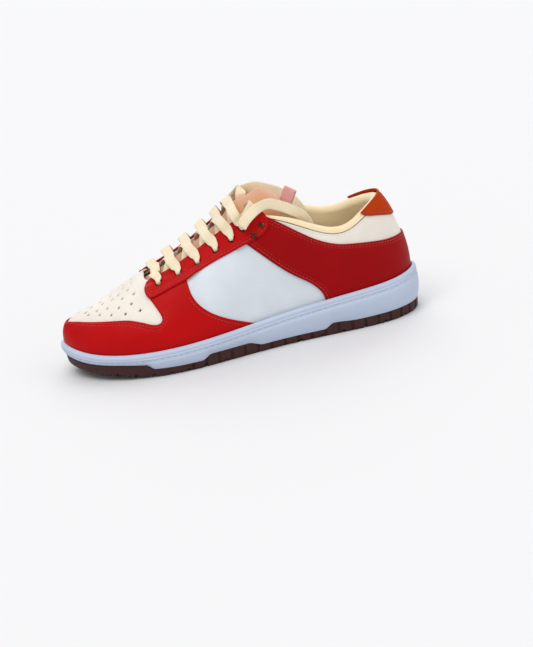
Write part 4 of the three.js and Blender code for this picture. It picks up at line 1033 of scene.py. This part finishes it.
def tongue_layer(name, outer, inner, stitched=False):
    """One layer of the tongue, between two depths that all draw together at the sewn edge."""
    rows, columns, rim_steps = 110, 72, 292
    corners = [0, rows / rim_steps, (rows + columns) / rim_steps, 1]

    def at_depth(along, across, nominal):
        whole = TONGUE_SHELL + 2 * CLEARANCE + foam_depth(along) + LINING
        margin = np.minimum((1 - np.abs(across)) * HALF_WIDTH, (1 - along) / (1 - FREE_START) * FREE_LENGTH)
        pinch = np.sqrt(np.maximum(1 - (1 - np.clip(margin / 4, 0, 1)) ** 2, 0))
        level = mix(whole / 2, nominal, 0.12 + 0.88 * pinch)
        if stitched:
            level = level + 0.5 * np.exp(-(((margin - SEAM_MARGIN) / 0.9) ** 2))
        return level

    def face(depth):
        def shape(s, t):
            across = 2 * t - 1
            return tongue_at(s, across, at_depth(s, across, depth(s)))
        return bent_grid(name, rows, columns, shape, (0.165, 0.07))

    def edge(steps, path):
        def shape(s, t):
            along, across = path(s)
            level = mix(at_depth(along, across, outer(along)), at_depth(along, across, inner(along)), t)
            return tongue_at(along, across, level)
        return bent_grid(name, steps, 1, shape)

    rim = edge(rim_steps, lambda s: (np.interp(s, corners, [0, 1, 1, 0]),
                                     np.interp(s, corners, [-1, -1, 1, 1])))
    base = edge(columns, lambda s: (0 * s, 2 * s - 1))
    return closed_piece(name, [face(outer), face(inner), rim, base], merge=5e-6, crease=60)


def foam_face(along):
    return 0 * along + TONGUE_SHELL + CLEARANCE


def lining_back(along):
    return foam_face(along) + foam_depth(along) + CLEARANCE


for node, outer, inner, material, slot in (
    ("tongue_shell", lambda along: 0 * along, lambda along: 0 * along + TONGUE_SHELL,
     knit("tongue textile", srgb(222, 160, 116), 0.8, on_uv=True), "tongue_textile"),
    ("tongue_foam", foam_face, lambda along: foam_face(along) + foam_depth(along), padding_foam, "foam"),
    ("tongue_lining", lining_back, lambda along: lining_back(along) + LINING, lining_knit, "lining_textile"),
):
    layer = tongue_layer(node + "_padded", outer, inner, stitched=node == "tongue_shell")
    finish_piece(layer, material, "tongue", slot, node)

side_reach, top_reach = 1 - SEAM_MARGIN / HALF_WIDTH, 0.965
up_side, over_top = np.linspace(0.25, 1, 200) * top_reach, np.linspace(-side_reach, side_reach, 120)
border = [np.concatenate([up_side, np.full(120, top_reach), up_side[::-1]]),
          np.concatenate([np.full(200, -side_reach), over_top, np.full(200, side_reach)])]
steps = np.arange(len(border[0]))
where, centres, along = spaced(tongue_at(*border, np.full(len(steps), 0.3)), 3.0)
normal = tongue_normal(*(np.interp(where, steps, path) for path in border))
stitch_row("tongue_stitching", centres, along, normal, 2.3, 0.3,
           thread("cream thread", srgb(228, 196, 146)), "tongue", "tongue_textile")

# ---------------------------------------------------------------- tongue label
# A loop of pink webbing, folded double and sewn into the tongue's top edge.
label_low, label_high = (np.array(c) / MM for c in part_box("tongue_label"))
label_middle = (label_low + label_high) / 2 - [0, CENTRED_Y, 0]


def label_loop(s, t):
    reach, gap, width = 6.2, 0.7, 11.4
    path = 2 * np.abs(s - 0.5)  # 0 at the fold, 1 at both feet
    lean, turn = math.radians(60), math.radians(45)
    upward = np.array([math.cos(lean), 0, math.sin(lean)])
    square = np.array([-math.sin(lean), 0, math.cos(lean)])
    widthwise = np.array([0, math.cos(turn), 0]) + square * math.sin(turn)
    through = np.array([0, -math.sin(turn), 0]) + square * math.cos(turn)
    side = np.sign(s - 0.5) * gap * np.sqrt(np.clip(path / 0.12, 0, 1)) * (1 - 0.15 * ease(path, 0.7, 1))
    side = side + 0.3 * np.sin((t - 0.5) * 5) * (1 - path)
    parts = (reach * (1 - 2 * path), upward), ((t - 0.5) * width, widthwise), (side, through)
    return sum(amount[:, None] * direction for amount, direction in parts) + label_middle


label = bent_grid("tongue_label_webbing", 60, 16, label_loop, (0.028, 0.012))
bpy.ops.object.modifier_add(type="SOLIDIFY")
label.modifiers[-1].thickness, label.modifiers[-1].offset = 0.55 * MM, 0
bpy.ops.object.modifier_apply(modifier=label.modifiers[-1].name)
label = closed_piece("tongue_label_webbing", [label], crease=50)
finish_piece(label, knit("pink webbing", srgb(238, 168, 162), 0.7, on_uv=True),
             "tongue", "pink_webbing", "tongue_label")

# ---------------------------------------------------------------- lace
# One flat woven cotton lace with clear tips. It enters every hole from outside, crosses over the tongue,
# and its ends run back along the collar and are tucked into the shoe.
LACE_WIDTH, LACE_THICKNESS, BUNCHED = 7.4, 1.3, 3.6
LACE_SPREAD = 1.3  # a slack flat lace spreads where nothing pinches it
LACE_TOP = 2 * LEATHER + 2 * CLEARANCE + LACE_THICKNESS / 2 + 0.7
UNDER_EYESTAY = (-VAMP_DEPTH - TONGUE_DROP) / 2


def side_of(u, side):
    return u if side < 0 else STATIONS - u


def wall_stop(u, v, w, side, width=LACE_WIDTH, through=False):
    s = np.array([side_of(u, side)], float)
    rise = float(eyestay_rise(s, np.array([v]))[0]) if w > 1 else 0.0
    across = wall_point(s + 1e-3, v) - wall_point(s - 1e-3, v)
    return laid(s, v, w + rise)[0], wall_normal(s, v)[0], unit(across)[0], width, through


def tongue_stop(u, across, height):
    along = FREE_START * (TONGUE_BASE_U - u) / (TONGUE_BASE_U - TONGUE_TOP_U)
    a, c = np.array([along]), np.array([float(across)])
    return tongue_at(a, c, np.array([-height]))[0], tongue_normal(a, c)[0], None, LACE_WIDTH, False


def rim_stop(u, out, up, side, width=LACE_WIDTH):
    s = np.array([side_of(u, side)], float)
    n = outward(s)[0]
    return wall_point(s, 1.0)[0] + n * out + UP * up, n, None, width, False


def edge_v(u):
    edge = np.array(throat_edge)
    return float(np.interp(u, edge[:, 0], edge[:, 1]))


def through_eyelet(place, side):
    u, v = place
    return [
        wall_stop(u, v + 0.035, LACE_TOP, side, LACE_WIDTH * 0.8),
        wall_stop(u, v + 0.006, LACE_TOP - 0.5, side, BUNCHED),
        wall_stop(u, v, 1.6, side, BUNCHED, True), wall_stop(u, v, -1.2, side, BUNCHED, True),
        wall_stop(u, v + 0.008, UNDER_EYESTAY + 0.3, side, BUNCHED * 1.1),
        wall_stop(u, v + 0.035, UNDER_EYESTAY, side, LACE_WIDTH * 0.75),
        wall_stop(u - 0.02, edge_v(u) - 0.02, UNDER_EYESTAY, side),
    ]


def cross_over(start, end, side, height):
    rest = LACE_THICKNESS / 2 + 0.5
    u = [mix(start[0], end[0], share) for share in (0.22, 0.34, 0.46, 0.55, 0.78, 0.9)]
    return [
        tongue_stop(u[0], side * 0.42, rest), tongue_stop(u[1], side * 0.26, mix(rest, height, 0.6)),
        tongue_stop(u[2], side * 0.08, height), tongue_stop(u[3], -side * 0.1, height + 0.3),
        wall_stop(u[4], edge_v(u[4]) + 0.012, LACE_TOP + 2.5, -side),
        wall_stop(u[5], mix(edge_v(u[5]), end[1], 0.35), LACE_TOP + 0.3, -side),
    ]


def free_end(side):
    on = [(3.13, 0.96, 4.2), (3.2, 0.91, 4.0), (3.26, 0.87, 4.6), (3.27, 0.86, 6.6), (3.2, 0.9, 8.2),
          (3.1, 0.95, 8.0)]
    rim = [(2.98, 8, 3.5), (2.85, 3.5, 5.6), (2.7, -0.5, 5.6), (2.5, -4.5, 4.8), (2.36, -9.5, 2.6),
           (2.27, -13.5, -2.5), (2.22, -15.5, -10)]
    return [wall_stop(3.17, 0.955, UNDER_EYESTAY, side),
            rim_stop(3.1, -2, 3.2, side), rim_stop(3.08, 5, 5.2, side),
            *[wall_stop(u, v, LACE_TOP + up, side) for u, v, up in on],
            *[rim_stop(u, out, up, side) for u, out, up in rim], rim_stop(2.2, -16, -19, side, BUNCHED)]


def lace_half(side):
    stops = [wall_stop(4.75, 0.8, LACE_TOP + 0.6, side), *through_eyelet(EYELETS[0], side)]
    now = side
    for row in range(1, len(EYELETS)):
        upper = (1 if row % 2 else -1) * side > 0
        stops += cross_over(EYELETS[row - 1], EYELETS[row], now, 4.5 if upper else 2.4)
        now = -now
        stops += through_eyelet(EYELETS[row], now)
    return stops + free_end(now)


bar = [tongue_stop(4.78, across, 5 - 9 * across * across) for across in (-0.3, 0, 0.3)]
lace_stops = lace_half(-1)[::-1] + bar + lace_half(1)


def width_directions(stops):
    """At each stop, the way the lace's width lies, turned so that it never flips."""
    places = np.array([s[0] for s in stops])
    widths = []
    for k, (_, facing, along, _, through) in enumerate(stops):
        tangent = unit(places[min(k + 1, len(stops) - 1)] - places[max(k - 1, 0)])
        width = along if through else np.cross(facing, tangent)
        width = unit(width - tangent * (width @ tangent))
        widths.append(-width if widths and width @ widths[-1] < 0 else width)
    return places, np.array(widths)


def through_points(values, knots, at):
    """A smooth curve through values at knots, with slopes from their neighbours."""
    slopes = np.gradient(values, knots, axis=0)
    i = np.clip(np.searchsorted(knots, at, side="right") - 1, 0, len(knots) - 2)
    span = (knots[i + 1] - knots[i])[:, None]
    t = ((at - knots[i]) / (knots[i + 1] - knots[i]))[:, None]
    return ((2 * t**3 - 3 * t**2 + 1) * values[i] + (t**3 - 2 * t**2 + t) * span * slopes[i]
            + (-2 * t**3 + 3 * t**2) * values[i + 1] + (t**3 - t**2) * span * slopes[i + 1])


stop_places, stop_widths = width_directions(lace_stops)
knots = np.concatenate([[0], np.cumsum(np.linalg.norm(np.diff(stop_places, axis=0), axis=1))])
LACE_COLUMNS, LACE_ROUND = 1500, 20
lace_run = np.linspace(0, knots[-1], LACE_COLUMNS + 1)
line = through_points(stop_places, knots, lace_run)
widthwise = through_points(stop_widths, knots, lace_run)
tangents = unit(np.gradient(line, axis=0))
widthwise = unit(widthwise - tangents * (widthwise * tangents).sum(-1, keepdims=True))
upright = np.cross(tangents, widthwise)
widths_mm = np.interp(lace_run, knots, [s[3] for s in lace_stops])
widths_mm += LACE_SPREAD * ease(widths_mm, LACE_WIDTH * 0.8, LACE_WIDTH)
flatness = np.interp(widths_mm, [BUNCHED, LACE_WIDTH * 0.7], [1.6, 1.0])


def lace_surface(s, t):
    k = np.round(s * LACE_COLUMNS).astype(int)
    angle = 2 * math.pi * t
    cos, sin = np.cos(angle), np.sin(angle)
    wide = np.sign(cos) * np.abs(cos) ** 0.55 * widths_mm[k] / 2
    rib = 1 + 0.06 * np.sin(lace_run[k] * 2 * math.pi / 1.9)
    thick = np.sign(sin) * np.abs(sin) ** 0.75 * LACE_THICKNESS / 2 * flatness[k]
    thick = thick * (1 - 0.2 * np.abs(cos) ** 6) * rib
    return line[k] + widthwise[k] * wide[:, None] + upright[k] * thick[:, None]


def lace_cap(k):
    def shape(s, t):
        end = np.full(s.shape, k / LACE_COLUMNS)
        return mix(lace_surface(end, t / 2), lace_surface(end, 1 - t / 2), s[:, None])
    return bent_grid("lace", 2, LACE_ROUND // 2, shape)


lace_sleeve = bent_grid("lace", LACE_COLUMNS, LACE_ROUND, lace_surface, (knots[-1] * MM, 0.0165))
lace = closed_piece("cotton_lace", [lace_sleeve, lace_cap(0), lace_cap(LACE_COLUMNS)], crease=70)


def woven_lace(name, colour):
    """Flat tubular weave: chevron rows of soft cotton yarn along the lace."""
    material, shader = new_material(name, 0.85, Sheen_Weight=0.4, Sheen_Roughness=0.5)
    place = add_node(material, "ShaderNodeTexCoord").outputs["UV"]
    bands = []
    for lean in (35, -35):
        turned = add_node(material, "ShaderNodeMapping", [("Vector", place)])
        turned.inputs["Rotation"].default_value[2] = math.radians(lean)
        bands.append(waves(material, turned.outputs[0], 240.0, 0.4))
    yarn = combined(material, "MAXIMUM", *bands)
    fuzz = noise(material, object_space(material), 1800.0, 3.0)
    tone = combined(material, "MULTIPLY", yarn, fuzz)
    tinted(material, shader, tone, shade(colour, 0.82), shade(colour, 1.12))
    bumped(material, shader, [(yarn, 1.0), (fuzz, 0.5)], 0.00025)
    return material


finish_piece(lace, woven_lace("cream cotton", srgb(255, 232, 196)), "root", "lace_cotton", "lace")
tip, tip_shader = new_material("clear lace tip", 0.2, Coat_Weight=0.5)
tip_tone = noise(tip, object_space(tip), 500.0, 2.0)
tinted(tip, tip_shader, tip_tone, srgb(214, 196, 160), srgb(240, 228, 200))
bumped(tip, tip_shader, [(tip_tone, 1.0)], 0.00005)
for side in ("lateral", "medial"):
    keep_node("aglet_" + side, tip)

# ---------------------------------------------------------------- camera, light and floor
# A long lens low on the outer side, leaning a little, with soft light from above and a pale floor.
azimuth, elevation, roll = (math.radians(a) for a in (-6.78, 16.12, -9.98))
target, distance = Vector((0, 0, 0.05)), 2.397
level = math.cos(elevation)
back = Vector((math.sin(azimuth) * level, -math.cos(azimuth) * level, math.sin(elevation)))
right = Vector((math.cos(azimuth), math.sin(azimuth), 0))
up = back.cross(right)
right, up = math.cos(roll) * right + math.sin(roll) * up, math.cos(roll) * up - math.sin(roll) * right
place = target + back * distance
aim = target + right * 0.0246 - up * 0.0335
back = (place - aim).normalized()
right = up.cross(back).normalized()
up = back.cross(right)
camera = bpy.data.objects.new("camera", bpy.data.cameras.new("camera"))
bpy.context.scene.collection.objects.link(camera)
camera.matrix_world = Matrix.Translation(place) @ Matrix((right, up, back)).transposed().to_4x4()
camera.data.lens = 162.8
camera.data.clip_end = 20
bpy.context.scene.camera = camera


def soft_light(name, come_from, spread, strength):
    """A distant light with a wide disc, so the floor is lit evenly and the shadows stay soft."""
    light = bpy.data.objects.new(name, bpy.data.lights.new(name, "SUN"))
    bpy.context.scene.collection.objects.link(light)
    light.rotation_euler = Vector(come_from).to_track_quat("Z", "Y").to_euler()
    light.data.angle, light.data.energy = spread, strength


soft_light("key", (-0.45, -0.75, 1.6), 0.8, 1.48)
soft_light("fill", (1.2, -0.9, 0.7), 1.0, 0.4)
soft_light("back", (0.2, 1.2, 1.0), 0.9, 1.0)
world = bpy.data.worlds.new("studio")
bpy.context.scene.world = world
world.use_nodes = True
surround = world.node_tree.nodes["Background"]
surround.inputs[0].default_value, surround.inputs[1].default_value = (0.97, 0.97, 1.0, 1), 0.6
deselect_all()
bpy.ops.mesh.primitive_plane_add(size=12, location=(0, 0, -0.0002))
floor = bpy.context.object
floor.name = "floor"
floor_paint, floor_shader = new_material("pale floor", 0.85)
floor_shader.inputs["Base Color"].default_value = (0.74, 0.74, 0.74, 1)
floor.data.materials.append(floor_paint)
bpy.context.scene.view_settings.view_transform = "Standard"
